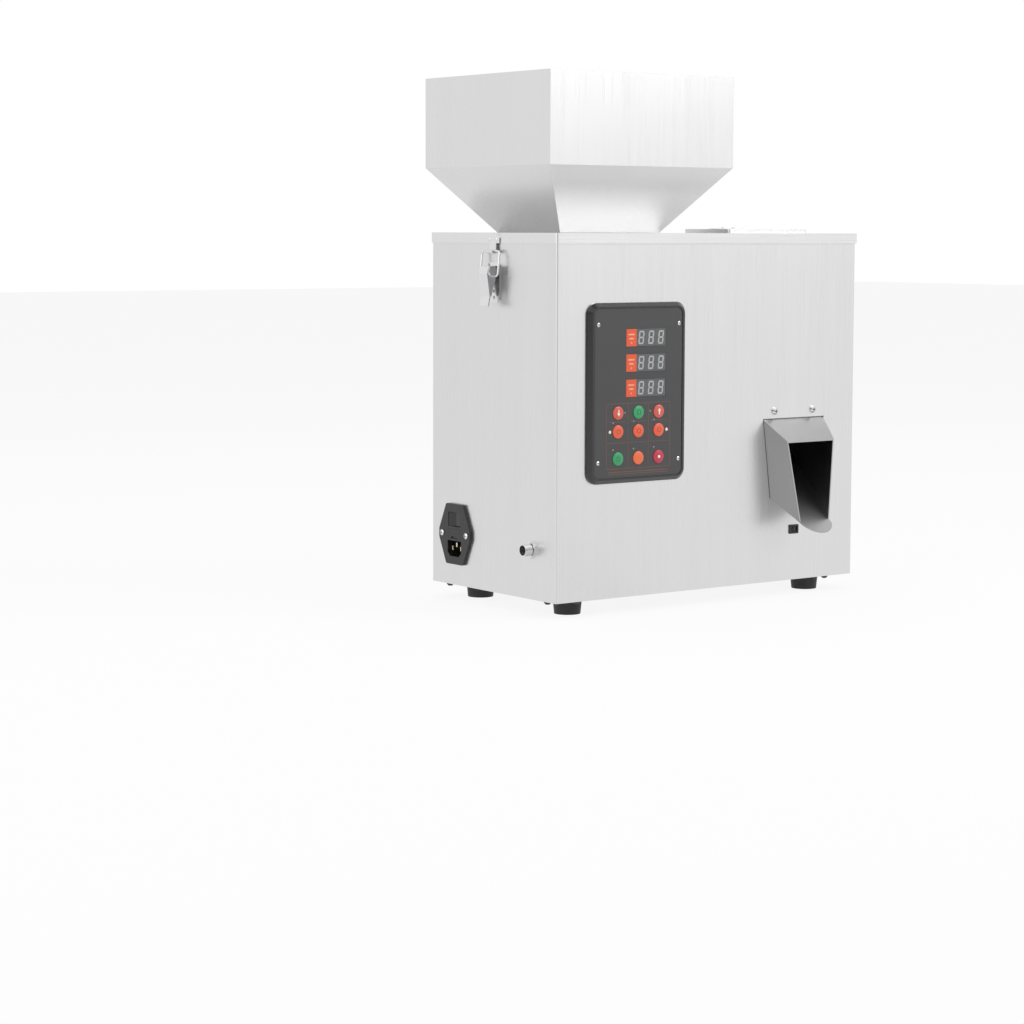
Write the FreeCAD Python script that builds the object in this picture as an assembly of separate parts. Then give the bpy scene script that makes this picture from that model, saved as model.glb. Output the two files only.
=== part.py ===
import FreeCAD, Part
import math
import os

# Bench-top vibratory powder filler: a sheet-steel case with a hopper on its lid, a shaken feed
# tray, a weigh bucket with a flap, and a discharge chute at the front.
# Lengths are in millimetres. +X runs to the right along the front, +Y to the back and +Z up.
# The shapes are laid out about the middle of the case's footprint with the floor at z = 0, and
# they are exported about the middle of the whole outline.

Vec = FreeCAD.Vector

# ---- sheet metal case ----
SHEET = 1.2
SLIP = 0.2
CASE_WIDTH = 375.0
CASE_DEPTH = 200.0
CASE_HEIGHT = 342.0
CASE_BEND = 2.0
REAR_EDGE = 0.8
FLANGE = 12.0
BASE_THICKNESS = 2.0
LID_GAP = 0.3
LID_SKIRT = 10.0
LID_BEND = 2.7
VENT_LENGTH = 46.0
VENT_WIDTH = 3.0
VENT_PITCH = 9.0
VENT_COUNT = 7
VENT_FROM_SIDE = 95.0
VENT_HEIGHT = 70.0
SLOT_END_PLAY = 0.01

# ---- feet and screws ----
FOOT_HEIGHT = 15.0
FOOT_TOP_R = 14.0
FOOT_BOTTOM_R = 12.5
FOOT_RECESS_R = 6.0
FOOT_RECESS = 8.0
FOOT_INSET_X = 36.5
FOOT_INSET_Y = 30.0
M4_R = 2.0
M3_R = 1.5
HOLE_PLAY = 0.15
PAN_HEAD_R = 3.5
PAN_HEAD_H = 2.4
BASE_HEAD_H = 3.2
HEAD_EDGE_SHARE = 0.5
HEAD_CROWN_SHARE = 0.6
NUT_CORNER_SHARE = 2.0
NUT_HEIGHT_SHARE = 1.6
REAR_SCREW_HEIGHTS = (40.0, 165.0, 290.0)
BASE_SCREW_INSET = 6.5
BASE_SCREW_FROM_CORNER_X = 29.5
BASE_SCREW_FROM_CORNER_Y = 21.0

# ---- hopper ----
HOPPER_WIDTH = 220.0
HOPPER_DEPTH = 200.0
HOPPER_OVERHANG = 8.5
HOPPER_WALL = 1.0
BIN_HEIGHT = 86.0
CONE_HEIGHT = 62.0
NECK_WIDTH = 120.0
NECK_DEPTH = 100.0
LOWER_CONE_HEIGHT = 30.0
THROAT_WIDTH = 46.0
THROAT_DEPTH = 40.0
THROAT_LENGTH = 24.0
HEM_HEIGHT = 8.0
FEED_LINE_Y = -17.0
GATE_HEIGHT = 29.0
GATE_DEPTH = 34.0
GATE_ABOVE_FLOOR = 6.8
GATE_TRAVEL = 7.0
GATE_KNOB_R = 6.0
GATE_KNOB_LENGTH = 6.5
GATE_KNOB_GROOVES = 12
GATE_KNOB_GROOVE_R = 0.6
GATE_SCREW_BELOW_CONE = 12.0

# ---- inspection hatch on the lid ----
HATCH_WIDTH = 104.0
HATCH_DEPTH = 68.0
HATCH_HEIGHT = 4.0
HATCH_BACK = 8.0
HATCH_LAP = 8.0
HINGE_LENGTH = 32.0
HINGE_LEAF = 0.8
HINGE_LEAF_DEPTH = 14.0
HINGE_PIN_R = 1.0
HINGE_PLAY = 0.05
KNUCKLE_R = 2.0
KNUCKLE_GAP = 0.3
HATCH_SCREW_PITCH = 14.0
HATCH_SCREW_R = 2.4
HATCH_SCREW_H = 0.9

# ---- toggle latches ----
LATCH_Y = -3.0
LATCH_PIVOT_OUT = 7.5
LATCH_PIVOT_BELOW_LID = 36.0
BAIL_PIVOT_OUT = 6.9
BAIL_PIVOT_BELOW_LID = 41.0
BAIL_WIRE_R = 1.0
BAIL_HALF_WIDTH = 14.0
BAIL_BEND = 4.0
KEEPER_THICKNESS = 1.0
KEEPER_TOP_WIDTH = 21.0
KEEPER_HOOK_WIDTH = 10.5
KEEPER_CURL_R = 1.9
KEEPER_CURL_BELOW_LID = 16.7
KEEPER_LIP = 0.3
BAIL_SEAT_PLAY = 0.4
LATCH_BASE_WIDTH = 18.0
LATCH_BASE_THICKNESS = 1.2
LATCH_BASE_TOP_BELOW_LID = 28.0
LATCH_BASE_HEIGHT = 38.0
LATCH_BASE_CORNER = 3.0
LATCH_EAR = 1.2
LATCH_EAR_OUT = 10.0
LATCH_EAR_HALF_HEIGHT = 3.2
LEVER_WIDTH = 14.0
LEVER_SHEET = 1.0
LEVER_PLAY = 0.2
LATCH_PIN_R = 1.5
LEVER_TOP_ABOVE_PIVOT = 4.5
LEVER_SHOULDER_OUT = 14.0
LEVER_WAIST_OUT = 11.0
LEVER_LIP_OUT = 13.0
LEVER_CHEEK_OUT = 4.3
LEVER_SHOULDER_BELOW_PIVOT = 3.0
LEVER_WAIST_BELOW_PIVOT = 24.0
LEVER_LIP_BELOW_PIVOT = 33.0

# ---- control panel ----
PANEL_FROM_LEFT = 93.0
PANEL_HEIGHT = 192.9
BEZEL_WIDTH = 117.5
BEZEL_TALL = 168.7
BEZEL_CORNER = 11.0
BEZEL_PROUD = 5.5
BEZEL_CHAMFER = 3.5
OVERLAY_WIDTH = 105.0
OVERLAY_TALL = 158.0
OVERLAY_CORNER = 6.0
OVERLAY_THICKNESS = 1.0
OVERLAY_SUNK = 0.5
WINDOW_WIDTH = 88.0
WINDOW_TALL = 150.0
DISPLAY_WIDTH = 47.7
DISPLAY_TALL = 16.5
DISPLAY_PITCH = 23.6
DISPLAY_X = 8.6
DISPLAY_TOP = 51.6
DISPLAY_SUNK = 0.2
BOARD_BEHIND_OVERLAY = 11.2
BOARD_THICKNESS = 1.6
BOARD_WIDTH = 103.0
BOARD_TALL = 156.0
STANDOFF_R = 3.0
BUTTON_R = 6.2
BUTTON_PLAY = 0.2
BUTTON_PROUD = 1.4
BUTTON_EDGE = 0.6
BUTTON_RIM_R = 7.4
BUTTON_RIM = 0.8
BUTTON_RIM_PLAY = 0.1
BUTTON_STEM_R = 1.8
BUTTON_STEM_PLAY = 0.1
BUTTON_TRAVEL = 0.8
BUTTON_COLUMNS = (-24.9, -0.4, 24.1)
BUTTON_ROWS = (-18.3, -35.8, -61.2)
SWITCH_SIDE = 6.0
SWITCH_HEIGHT = 4.0
LAMP_R = 1.5
LAMP_PROUD = 0.6
LAMP_SPOTS = ((-34.2, -35.9), (34.2, -35.9))
PANEL_SCREW_X = 48.5
PANEL_SCREW_Z = 64.2
PANEL_SCREW_R = 1.0
PANEL_SCREW_HEAD_R = 1.9
PANEL_SCREW_HEAD_H = 0.9

# ---- discharge chute ----
CHUTE_FROM_RIGHT = 80.9
CHUTE_ROOF_HEIGHT = 160.0
CHUTE_ROOF_REACH = 25.0
CHUTE_ROOF_DROP = 19.6
CHUTE_FLOOR_HEIGHT = 83.0
CHUTE_MOUTH_REACH = 32.0
CHUTE_FLOOR_DROP = 22.4
CHUTE_HALF_WIDTH = 39.6
CHUTE_TAPER_DOWN = 0.125
CHUTE_TAPER_OUT = 0.246
FUNNEL_HALF_WIDTH = 49.0
FUNNEL_TOP_HEIGHT = 185.0
FUNNEL_BEHIND_FLAP = 1.4
CHUTE_OPENING_PLAY = 0.3
TONGUE_LENGTH = 16.7
TONGUE_STRAIGHT = 4.5
CHUTE_SCREW_X = 25.2
CHUTE_SCREW_HEIGHT = 168.3
SENSOR_X = 1.6
SENSOR_HEIGHT = 50.3
SENSOR_WIDTH = 12.0
SENSOR_TALL = 9.0
SENSOR_FRAME = 1.8
SENSOR_PROUD = 1.0
SENSOR_DEPTH = 18.0

# ---- power inlet and foot switch connector on the left side ----
INLET_FROM_BACK = 41.0
INLET_HEIGHT = 50.0
INLET_FLANGE = 3.0
INLET_TALL = 59.0
INLET_END_WIDTH = 27.5
INLET_MIDDLE_WIDTH = 51.0
INLET_MIDDLE_TALL = 8.0
INLET_CORNER = 2.5
INLET_BODY_WIDTH = 27.6
INLET_BODY_TALL = 48.0
INLET_BODY_DEPTH = 34.0
INLET_SCREW_PITCH = 40.0
INLET_SCREW_HEAD_R = 2.9
INLET_SCREW_HEAD_H = 1.7
SOCKET_WIDTH = 22.6
SOCKET_TALL = 15.4
SOCKET_DEPTH = 16.0
SOCKET_CORNER = 4.0
SOCKET_DOWN = 14.2
BLADE_PITCH = 7.0
BLADE_WIDTH = 2.0
BLADE_TALL = 4.0
BLADE_LENGTH = 13.0
EARTH_UP = 3.6
ROCKER_WIDTH = 19.4
ROCKER_TALL = 13.0
ROCKER_UP = 14.3
ROCKER_PLAY = 0.4
ROCKER_PIVOT_IN = 4.0
ROCKER_MIDDLE_IN = 2.1
ROCKER_EDGE = 1.2
ROCKER_SHOULDER = 3.6
ROCKER_KEEL = 7.3
ROCKER_TILT = 10.0
ROCKER_PIN_R = 1.2
ROCKER_WELL = 15.0
FUSE_WIDTH = 20.0
FUSE_TALL = 9.0
FUSE_UP = 0.2
FUSE_DEPTH = 26.0
FUSE_PLAY = 0.15
FUSE_GROOVE_DEPTH = 1.0
FUSE_GROOVE_TALL = 2.0
FUSE_GROOVE_WIDTH = 10.0
FUSE_FRONT_WALL = 3.0
FUSE_END_WALL = 1.5
FUSE_BAY_WIDTH = 6.7
FUSE_BAY_FLOOR = 3.0
CONNECTOR_FROM_FRONT = 37.0
CONNECTOR_HEIGHT = 47.0
CONNECTOR_R = 5.85
CONNECTOR_NECK_R = 5.5
CONNECTOR_RELIEF = 0.6
CONNECTOR_PLAY = 0.05
CONNECTOR_PROUD = 11.0
CONNECTOR_INSIDE = 9.0
CONNECTOR_FLANGE_R = 8.5
CONNECTOR_FLANGE = 2.0
CONNECTOR_BORE_R = 4.8
CONNECTOR_INSERT_SUNK = 4.0
CONNECTOR_NUT_R = 8.3
CONNECTOR_NUT_H = 2.6
CONNECTOR_PIN_R = 0.6
CONNECTOR_PIN_CIRCLE_R = 2.6
CONNECTOR_PIN_COUNT = 4
CONNECTOR_PIN_LENGTH = 2.5

# ---- vibratory feeder ----
TRAY_SHEET = 1.2
TRAY_WIDTH = 52.0
TRAY_TALL = 24.0
TRAY_BEND = 7.0
TRAY_FLOOR_BELOW_THROAT = 18.8
TRAY_BEHIND_THROAT = 13.0
TRAY_OVER_BUCKET = 10.0
TRAY_LIP_CUT = 14.0
SPRING_ANGLE = 20.0
SPRING_THICKNESS = 2.5
SPRING_WIDTH = 36.0
SPRING_CLAMP = 20.0
CARRIER_PLATE = 4.0
CARRIER_BLOCK = 10.0
CARRIER_DROP = 26.0
CARRIER_BEHIND_THROAT = 0.0
CARRIER_LENGTH = 114.0
VIBRATOR_GAP = 28.0
VIBRATOR_BLOCK = 22.0
VIBRATOR_WIDTH = 44.0
RUBBER_R = 8.0
RUBBER_HEIGHT = 12.0
RUBBER_INSET = 14.0
MAGNET_GAP = 2.5
MAGNET_LENGTH = 36.0
MAGNET_WIDTH = 24.0
MAGNET_HEIGHT = 30.0
COIL_LENGTH = 20.0
COIL_WIDTH = 36.0
COIL_HEIGHT = 34.0
ARMATURE = 8.0
ARMATURE_FROM_RIGHT = 40.0
STAND_SHEET = 3.0
STAND_WIDTH = 60.0
STAND_MARGIN = 9.0
STAND_FOOT = 15.0
TRANSFORMER_LENGTH = 60.0
TRANSFORMER_THICKNESS = 26.0
TRANSFORMER_HEIGHT = 50.0
TRANSFORMER_COIL_LENGTH = 38.0
TRANSFORMER_COIL_THICKNESS = 44.0
TRANSFORMER_COIL_HEIGHT = 34.0

# ---- weigh bucket, flap and its solenoid ----
BUCKET_INSIDE = 58.0
BUCKET_WALL = 1.0
BUCKET_TALL = 58.0
BUCKET_BELOW_TRAY = 12.0
FLAP_SHEET = 1.2
FLAP_PLAY = 0.2
FLAP_PIN_R = 2.0
FLAP_PIN_PLAY = 0.05
FLAP_PIN_BEHIND = 0.3
FLAP_PIN_ABOVE = 1.0
FLAP_LIP = 5.0
FLAP_LIP_SHEET = 1.0
FLAP_EAR_R = 4.0
FLAP_OPEN = 50.0
LEVER_ARM = 14.0
LEVER_ARM_THICKNESS = 3.0
LEVER_ARM_TIP_R = 3.0
LEVER_ARM_OUT = 5.4
PLUNGER_R = 3.0
PLUNGER_HEAD_R = 4.0
PLUNGER_HEAD = 2.5
PLUNGER_PLAY = 0.05
PLUNGER_TOUCH = 0.3
PLUNGER_BELOW = 18.0
PLUNGER_COLLAR_R = 5.0
SOLENOID_SIDE = 20.0
SOLENOID_TALL = 40.0
SOLENOID_BELOW_LEVER = 18.0
LOAD_CELL_LENGTH = 81.0
LOAD_CELL_SIDE = 12.7
LOAD_CELL_BELOW_BUCKET_TOP = 12.3
LOAD_CELL_BEHIND_BUCKET = 11.0
LOAD_CELL_HOLE_R = 4.6
LOAD_CELL_HOLE_PITCH = 16.0
HANGER_WIDTH = 18.0
HANGER_FROM_LEFT = 23.4
COLUMN_SHEET = 3.0
COLUMN_WIDTH = 32.0
COLUMN_SHELF = 23.0
COLUMN_FOOT = 16.0
COLUMN_FROM_RIGHT = 29.5

# ---- places that follow from the sizes ----
LEFT = -CASE_WIDTH / 2
RIGHT = CASE_WIDTH / 2
FRONT = -CASE_DEPTH / 2
BACK = CASE_DEPTH / 2
CASE_Z = FOOT_HEIGHT
LID_TOP = CASE_Z + CASE_HEIGHT
RIM = LID_TOP - SHEET
BASE_TOP = CASE_Z + BASE_THICKNESS
REAR_INNER = BACK - SHEET
LIP_OUT = LID_GAP + SHEET
HOPPER_X = LEFT - HOPPER_OVERHANG + HOPPER_WIDTH / 2
CONE_TOP = LID_TOP + CONE_HEIGHT
THROAT_TOP = LID_TOP - LOWER_CONE_HEIGHT
THROAT_BOTTOM = THROAT_TOP - THROAT_LENGTH
THROAT_RIGHT = HOPPER_X + THROAT_WIDTH / 2
TRAY_FLOOR = THROAT_BOTTOM - TRAY_FLOOR_BELOW_THROAT
TRAY_UNDER = TRAY_FLOOR - TRAY_SHEET
CHUTE_X = RIGHT - CHUTE_FROM_RIGHT
CHUTE_ROOF = CASE_Z + CHUTE_ROOF_HEIGHT
CHUTE_FLOOR = CASE_Z + CHUTE_FLOOR_HEIGHT
FUNNEL_TOP = CASE_Z + FUNNEL_TOP_HEIGHT
ROOF_SLOPE = CHUTE_ROOF_DROP / CHUTE_ROOF_REACH
FLOOR_SLOPE = CHUTE_FLOOR_DROP / CHUTE_MOUTH_REACH
BUCKET_TOP = TRAY_UNDER - BUCKET_BELOW_TRAY
BUCKET_BOTTOM = BUCKET_TOP - BUCKET_TALL
BUCKET_HALF = BUCKET_INSIDE / 2 + BUCKET_WALL
BUCKET_LEFT = CHUTE_X - BUCKET_HALF
BUCKET_BACK = FEED_LINE_Y + BUCKET_HALF
FLAP_Y = BUCKET_BACK + FLAP_PIN_BEHIND + FLAP_PIN_R
FLAP_Z = BUCKET_BOTTOM + FLAP_PIN_ABOVE
FLAP_TOP = BUCKET_BOTTOM - FLAP_PLAY
FUNNEL_BACK = FLAP_Y + FUNNEL_BEHIND_FLAP
ARM_X = CHUTE_X + BUCKET_HALF + LEVER_ARM_OUT
HALF_OPEN = math.radians(FLAP_OPEN / 2)
ARM_TIP_Y = FLAP_Y + LEVER_ARM * math.cos(HALF_OPEN)
ARM_TIP_Z = FLAP_Z - LEVER_ARM * math.sin(HALF_OPEN)
PLUNGER_TRAVEL = 2 * LEVER_ARM * math.sin(HALF_OPEN)
PLUNGER_Y = FLAP_Y + LEVER_ARM * (1 + math.cos(HALF_OPEN)) / 2
PLUNGER_TOP = ARM_TIP_Z - LEVER_ARM_TIP_R - PLUNGER_TOUCH
SOLENOID_TOP = PLUNGER_TOP - SOLENOID_BELOW_LEVER
SOLENOID_BOTTOM = SOLENOID_TOP - SOLENOID_TALL
COLUMN_X = RIGHT - COLUMN_FROM_RIGHT
LOAD_CELL_Y = BUCKET_BACK + LOAD_CELL_BEHIND_BUCKET
LOAD_CELL_TOP = BUCKET_TOP - LOAD_CELL_BELOW_BUCKET_TOP
LOAD_CELL_BOTTOM = LOAD_CELL_TOP - LOAD_CELL_SIDE
LOAD_CELL_RIGHT = COLUMN_X + COLUMN_SHELF
LEAN = math.tan(math.radians(SPRING_ANGLE))
CARRIER_TOP = TRAY_UNDER
CARRIER_BOTTOM = CARRIER_TOP - CARRIER_DROP
CARRIER_LEFT = HOPPER_X - THROAT_WIDTH / 2 - CARRIER_BEHIND_THROAT
VIBRATOR_TOP = CARRIER_BOTTOM - VIBRATOR_GAP
VIBRATOR_BOTTOM = VIBRATOR_TOP - VIBRATOR_BLOCK
STAND_TOP = VIBRATOR_BOTTOM - RUBBER_HEIGHT
HATCH_FRONT = HATCH_BACK - HATCH_DEPTH
HINGE_Y = HATCH_BACK + KNUCKLE_R + KNUCKLE_GAP
HINGE_Z = LID_TOP + HATCH_HEIGHT + HINGE_LEAF - KNUCKLE_R
PANEL_X = LEFT + PANEL_FROM_LEFT
PANEL_Z = CASE_Z + PANEL_HEIGHT
BEZEL_FACE = FRONT - BEZEL_PROUD
OVERLAY_FACE = BEZEL_FACE + OVERLAY_SUNK
OVERLAY_BACK = OVERLAY_FACE + OVERLAY_THICKNESS
BOARD_FRONT = OVERLAY_FACE + BOARD_BEHIND_OVERLAY
INLET_Y = BACK - INLET_FROM_BACK
INLET_Z = CASE_Z + INLET_HEIGHT
INLET_FACE = LEFT - INLET_FLANGE
CONNECTOR_Y = FRONT + CONNECTOR_FROM_FRONT
CONNECTOR_Z = CASE_Z + CONNECTOR_HEIGHT
CONNECTOR_THREAD_END = LEFT - CONNECTOR_NUT_H - CONNECTOR_RELIEF
PIVOT_Z = LID_TOP - LATCH_PIVOT_BELOW_LID
BAIL_PIVOT_Z = LID_TOP - BAIL_PIVOT_BELOW_LID
CURL_OUT = LIP_OUT + KEEPER_THICKNESS + KEEPER_CURL_R
CURL_Z = LID_TOP - KEEPER_CURL_BELOW_LID
BAIL_BAR_Z = CURL_Z - KEEPER_CURL_R + BAIL_WIRE_R + BAIL_SEAT_PLAY
MOUTH_HALF_WIDTH = CHUTE_HALF_WIDTH - CHUTE_TAPER_OUT * CHUTE_MOUTH_REACH - CHUTE_TAPER_DOWN * (
    CHUTE_ROOF_HEIGHT - CHUTE_FLOOR_HEIGHT + CHUTE_FLOOR_DROP)
TONGUE_FALL = math.atan(FLOOR_SLOPE)
FRONT_REACH = FRONT - CHUTE_MOUTH_REACH - TONGUE_LENGTH * math.cos(TONGUE_FALL) - SHEET * math.sin(TONGUE_FALL)
BACK_REACH = BACK + PAN_HEAD_H
MIDDLE_Y = (FRONT_REACH + BACK_REACH) / 2


# ---- helpers ----
def span(middle, size):
    """Low and high end of a length about its middle."""
    return middle - size / 2, middle + size / 2


def slab(x, y, z):
    """Block between (low, high) pairs along X, Y and Z."""
    return Part.makeBox(x[1] - x[0], y[1] - y[0], z[1] - z[0], Vec(x[0], y[0], z[0]))


def rod(start, way, radius, length):
    """Round bar from a start point along a direction."""
    return Part.makeCylinder(radius, length, Vec(*start), Vec(*way))


def point(axis, first, second, along):
    """Point from its two coordinates across an axis, in X, Y, Z order, and one along it."""
    if axis == "x":
        return Vec(along, first, second)
    if axis == "y":
        return Vec(first, along, second)
    return Vec(first, second, along)


def prism(outline, axis, ends):
    """Closed outline of (first, second) points, extruded along an axis."""
    corners = [point(axis, a, b, ends[0]) for a, b in outline]
    face = Part.Face(Part.makePolygon(corners + corners[:1]))
    return face.extrude(point(axis, 0, 0, ends[1] - ends[0]))


def folded(bends, thickness, axis, ends):
    """Folded sheet strip whose other face lies to the left of its bend points."""
    normals = []
    for (a, b), (c, d) in zip(bends, bends[1:]):
        length = math.hypot(c - a, d - b)
        normals.append(((b - d) / length, (c - a) / length))
    inner = []
    for index, (a, b) in enumerate(bends):
        before = normals[max(index - 1, 0)]
        after = normals[min(index, len(normals) - 1)]
        reach = thickness / (1 + before[0] * after[0] + before[1] * after[1])
        inner.append((a + (before[0] + after[0]) * reach, b + (before[1] + after[1]) * reach))
    return prism(bends + inner[::-1], axis, ends)


def edges_along(shape, axis, spots=None):
    """Straight edges that run along an axis, or only those through the spots across it."""
    way = point(axis, 0, 0, 1)
    found = []
    for edge in shape.Edges:
        if edge.Curve.TypeId != "Part::GeomLine":
            continue
        if abs(edge.tangentAt(edge.FirstParameter).dot(way)) < 0.999:
            continue
        here = edge.Vertexes[0].Point
        here = here - way * here.dot(way)
        if spots is None or any((here - point(axis, a, b, 0)).Length < 0.01 for a, b in spots):
            found.append(edge)
    return found


def rounded(shape, axis, radius, spots=None):
    """Shape with its edges along an axis rounded."""
    return shape.makeFillet(radius, edges_along(shape, axis, spots))


def joined(*shapes):
    """One solid from shapes that touch."""
    return shapes[0].multiFuse(list(shapes[1:])).removeSplitter()


def placed(shape, at, way):
    """Copy of a shape made at the origin along +Z, moved to a point and turned along a direction."""
    copy = shape.copy()
    copy.Placement = FreeCAD.Placement(Vec(*at), FreeCAD.Rotation(Vec(0, 0, 1), Vec(*way)))
    return copy


def mirrored(shape):
    """The same shape on the other side of the case."""
    return shape.mirror(Vec(0, 0, 0), Vec(1, 0, 0))


def screw(at, way, radius, head_r, head_h, length, nut_at=None):
    """Pan-head screw seated at a point, with its head along the direction and an optional nut."""
    edge = head_h * HEAD_EDGE_SHARE
    crown = Part.makeCone(head_r, head_r * HEAD_CROWN_SHARE, head_h - edge, Vec(0, 0, edge))
    solids = [Part.makeCylinder(head_r, edge), crown, Part.makeCylinder(radius, length, Vec(0, 0, -length))]
    if nut_at is not None:
        nut_h = radius * NUT_HEIGHT_SHARE
        solids.append(hexagon(radius * NUT_CORNER_SHARE, nut_h).translated(Vec(0, 0, -nut_at - nut_h)))
    return placed(joined(*solids), at, way)


def domed(radius, height, edge):
    """Round disc on z = 0 whose top swells from the edge's height to the full height."""
    swell = height - edge
    ball_r = (radius ** 2 + swell ** 2) / (2 * swell)
    return Part.makeCylinder(radius, height).common(Part.makeSphere(ball_r, Vec(0, 0, height - ball_r)))


def hexagon(corner_r, height):
    """Hexagonal block about +Z, standing on z = 0."""
    corners = [(corner_r * math.cos(math.radians(60 * i)), corner_r * math.sin(math.radians(60 * i)))
               for i in range(6)]
    return prism(corners, "z", (0, height))


def flat_sided(low, high):
    """Block between two rings of matching corners, whose sides come out flat."""
    rings = [Part.makePolygon(ring + ring[:1]) for ring in (low, high)]
    faces = [Part.Face(ring) for ring in rings]
    for index in range(len(low)):
        sides = [low[index - 1], low[index], high[index], high[index - 1]]
        faces.append(Part.Face(Part.makePolygon(sides + sides[:1])))
    block = Part.makeSolid(Part.makeShell(faces))
    return block if block.Volume > 0 else block.reversed()


def cone_block(low_x, low_y, low_z, high_x, high_y, high_z):
    """Block with sloping sides between two level rectangles, each given by (low, high) pairs."""
    rings = []
    for x, y, z in ((low_x, low_y, low_z), (high_x, high_y, high_z)):
        rings.append([Vec(x[0], y[0], z), Vec(x[1], y[0], z), Vec(x[1], y[1], z), Vec(x[0], y[1], z)])
    return flat_sided(*rings)


# ---- case ----
def panel_window(ends):
    """Opening behind the control panel."""
    window = slab(span(PANEL_X, WINDOW_WIDTH), ends, span(PANEL_Z, WINDOW_TALL))
    return rounded(window, "y", BUTTON_RIM_R)


def panel_screw_spots():
    return [(PANEL_X + i * PANEL_SCREW_X, PANEL_Z + j * PANEL_SCREW_Z) for i in (-1, 1) for j in (-1, 1)]


def chute_screw_spots():
    return [(CHUTE_X + i * CHUTE_SCREW_X, CASE_Z + CHUTE_SCREW_HEIGHT) for i in (-1, 1)]


def inlet_screw_spots():
    return [(INLET_Y + i * INLET_SCREW_PITCH / 2, INLET_Z) for i in (-1, 1)]


def rear_screw_spots():
    inset = RIGHT - SHEET - FLANGE / 2
    return [(i * inset, CASE_Z + height) for i in (-1, 1) for height in REAR_SCREW_HEIGHTS]


def base_screw_spots():
    side = RIGHT - BASE_SCREW_INSET
    near_side = RIGHT - BASE_SCREW_FROM_CORNER_X
    end = BACK - SHEET - BASE_SCREW_INSET
    near_end = BACK - BASE_SCREW_FROM_CORNER_Y
    spots = [(i * side, j * near_end) for i in (-1, 1) for j in (-1, 1)]
    return spots + [(i * near_side, j * end) for i in (-1, 1) for j in (-1, 1)]


def foot_spots():
    return [(i * (RIGHT - FOOT_INSET_X), j * (BACK - FOOT_INSET_Y)) for i in (-1, 1) for j in (-1, 1)]


def chute_opening(ends):
    """Tapered opening in the front for the chute."""
    high = CHUTE_ROOF + ROOF_SLOPE * SHEET + CHUTE_OPENING_PLAY
    low = CHUTE_FLOOR - CHUTE_OPENING_PLAY
    wide = chute_half_width(FRONT + SHEET, high) + CHUTE_OPENING_PLAY
    narrow = chute_half_width(FRONT + SHEET, low) + CHUTE_OPENING_PLAY
    outline = [(CHUTE_X - narrow, low), (CHUTE_X + narrow, low), (CHUTE_X + wide, high), (CHUTE_X - wide, high)]
    return prism(outline, "y", ends)


def case_wrap():
    """Left side, front and right side folded from one sheet, with inward flanges."""
    bends = [(LEFT + FLANGE, REAR_INNER), (LEFT, REAR_INNER), (LEFT, FRONT),
             (RIGHT, FRONT), (RIGHT, REAR_INNER), (RIGHT - FLANGE, REAR_INNER)]
    wall = folded(bends, SHEET, "z", (CASE_Z, RIM))
    wall = rounded(wall, "z", CASE_BEND, [(LEFT, FRONT), (RIGHT, FRONT)])
    inner = (LEFT + SHEET, FRONT + SHEET), (RIGHT - SHEET, FRONT + SHEET)
    wall = rounded(wall, "z", CASE_BEND - SHEET, inner)
    flanges = []
    for low in (BASE_TOP, RIM - SHEET):
        level = (low, low + SHEET)
        sheet = slab((LEFT + SHEET, RIGHT - SHEET), (FRONT + SHEET, REAR_INNER - SHEET), level)
        inside = slab((LEFT + FLANGE, RIGHT - FLANGE), (FRONT + FLANGE, BACK), level)
        flanges.append(rounded(sheet, "z", CASE_BEND - SHEET, inner).cut(inside))
    wall = joined(wall, *flanges)
    through = (FRONT - SHEET, FRONT + 2 * SHEET)
    cuts = [panel_window(through), chute_opening(through)]
    cuts += [rod((x, through[0], z), (0, 1, 0), PANEL_SCREW_R + HOLE_PLAY, 3 * SHEET)
             for x, z in panel_screw_spots()]
    cuts += [rod((x, through[0], z), (0, 1, 0), M4_R + HOLE_PLAY, 3 * SHEET) for x, z in chute_screw_spots()]
    cuts.append(sensor_block(through, HOLE_PLAY))
    side = (LEFT - SHEET, LEFT + 2 * SHEET)
    cuts.append(slab(side, span(INLET_Y, INLET_BODY_WIDTH + 2 * SLIP), span(INLET_Z, INLET_BODY_TALL + 2 * SLIP)))
    cuts += [rod((side[0], y, z), (1, 0, 0), M3_R + HOLE_PLAY, 3 * SHEET) for y, z in inlet_screw_spots()]
    cuts.append(rod((side[0], CONNECTOR_Y, CONNECTOR_Z), (1, 0, 0), CONNECTOR_R + HOLE_PLAY, 3 * SHEET))
    cuts += [rod((x, REAR_INNER - 2 * SHEET, z), (0, 1, 0), M3_R + HOLE_PLAY, 4 * SHEET)
             for x, z in rear_screw_spots()]
    cuts += [rod((x, y, CASE_Z), (0, 0, 1), M3_R + HOLE_PLAY, 3 * BASE_THICKNESS) for x, y in base_screw_spots()]
    return wall.cut(cuts)


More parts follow.
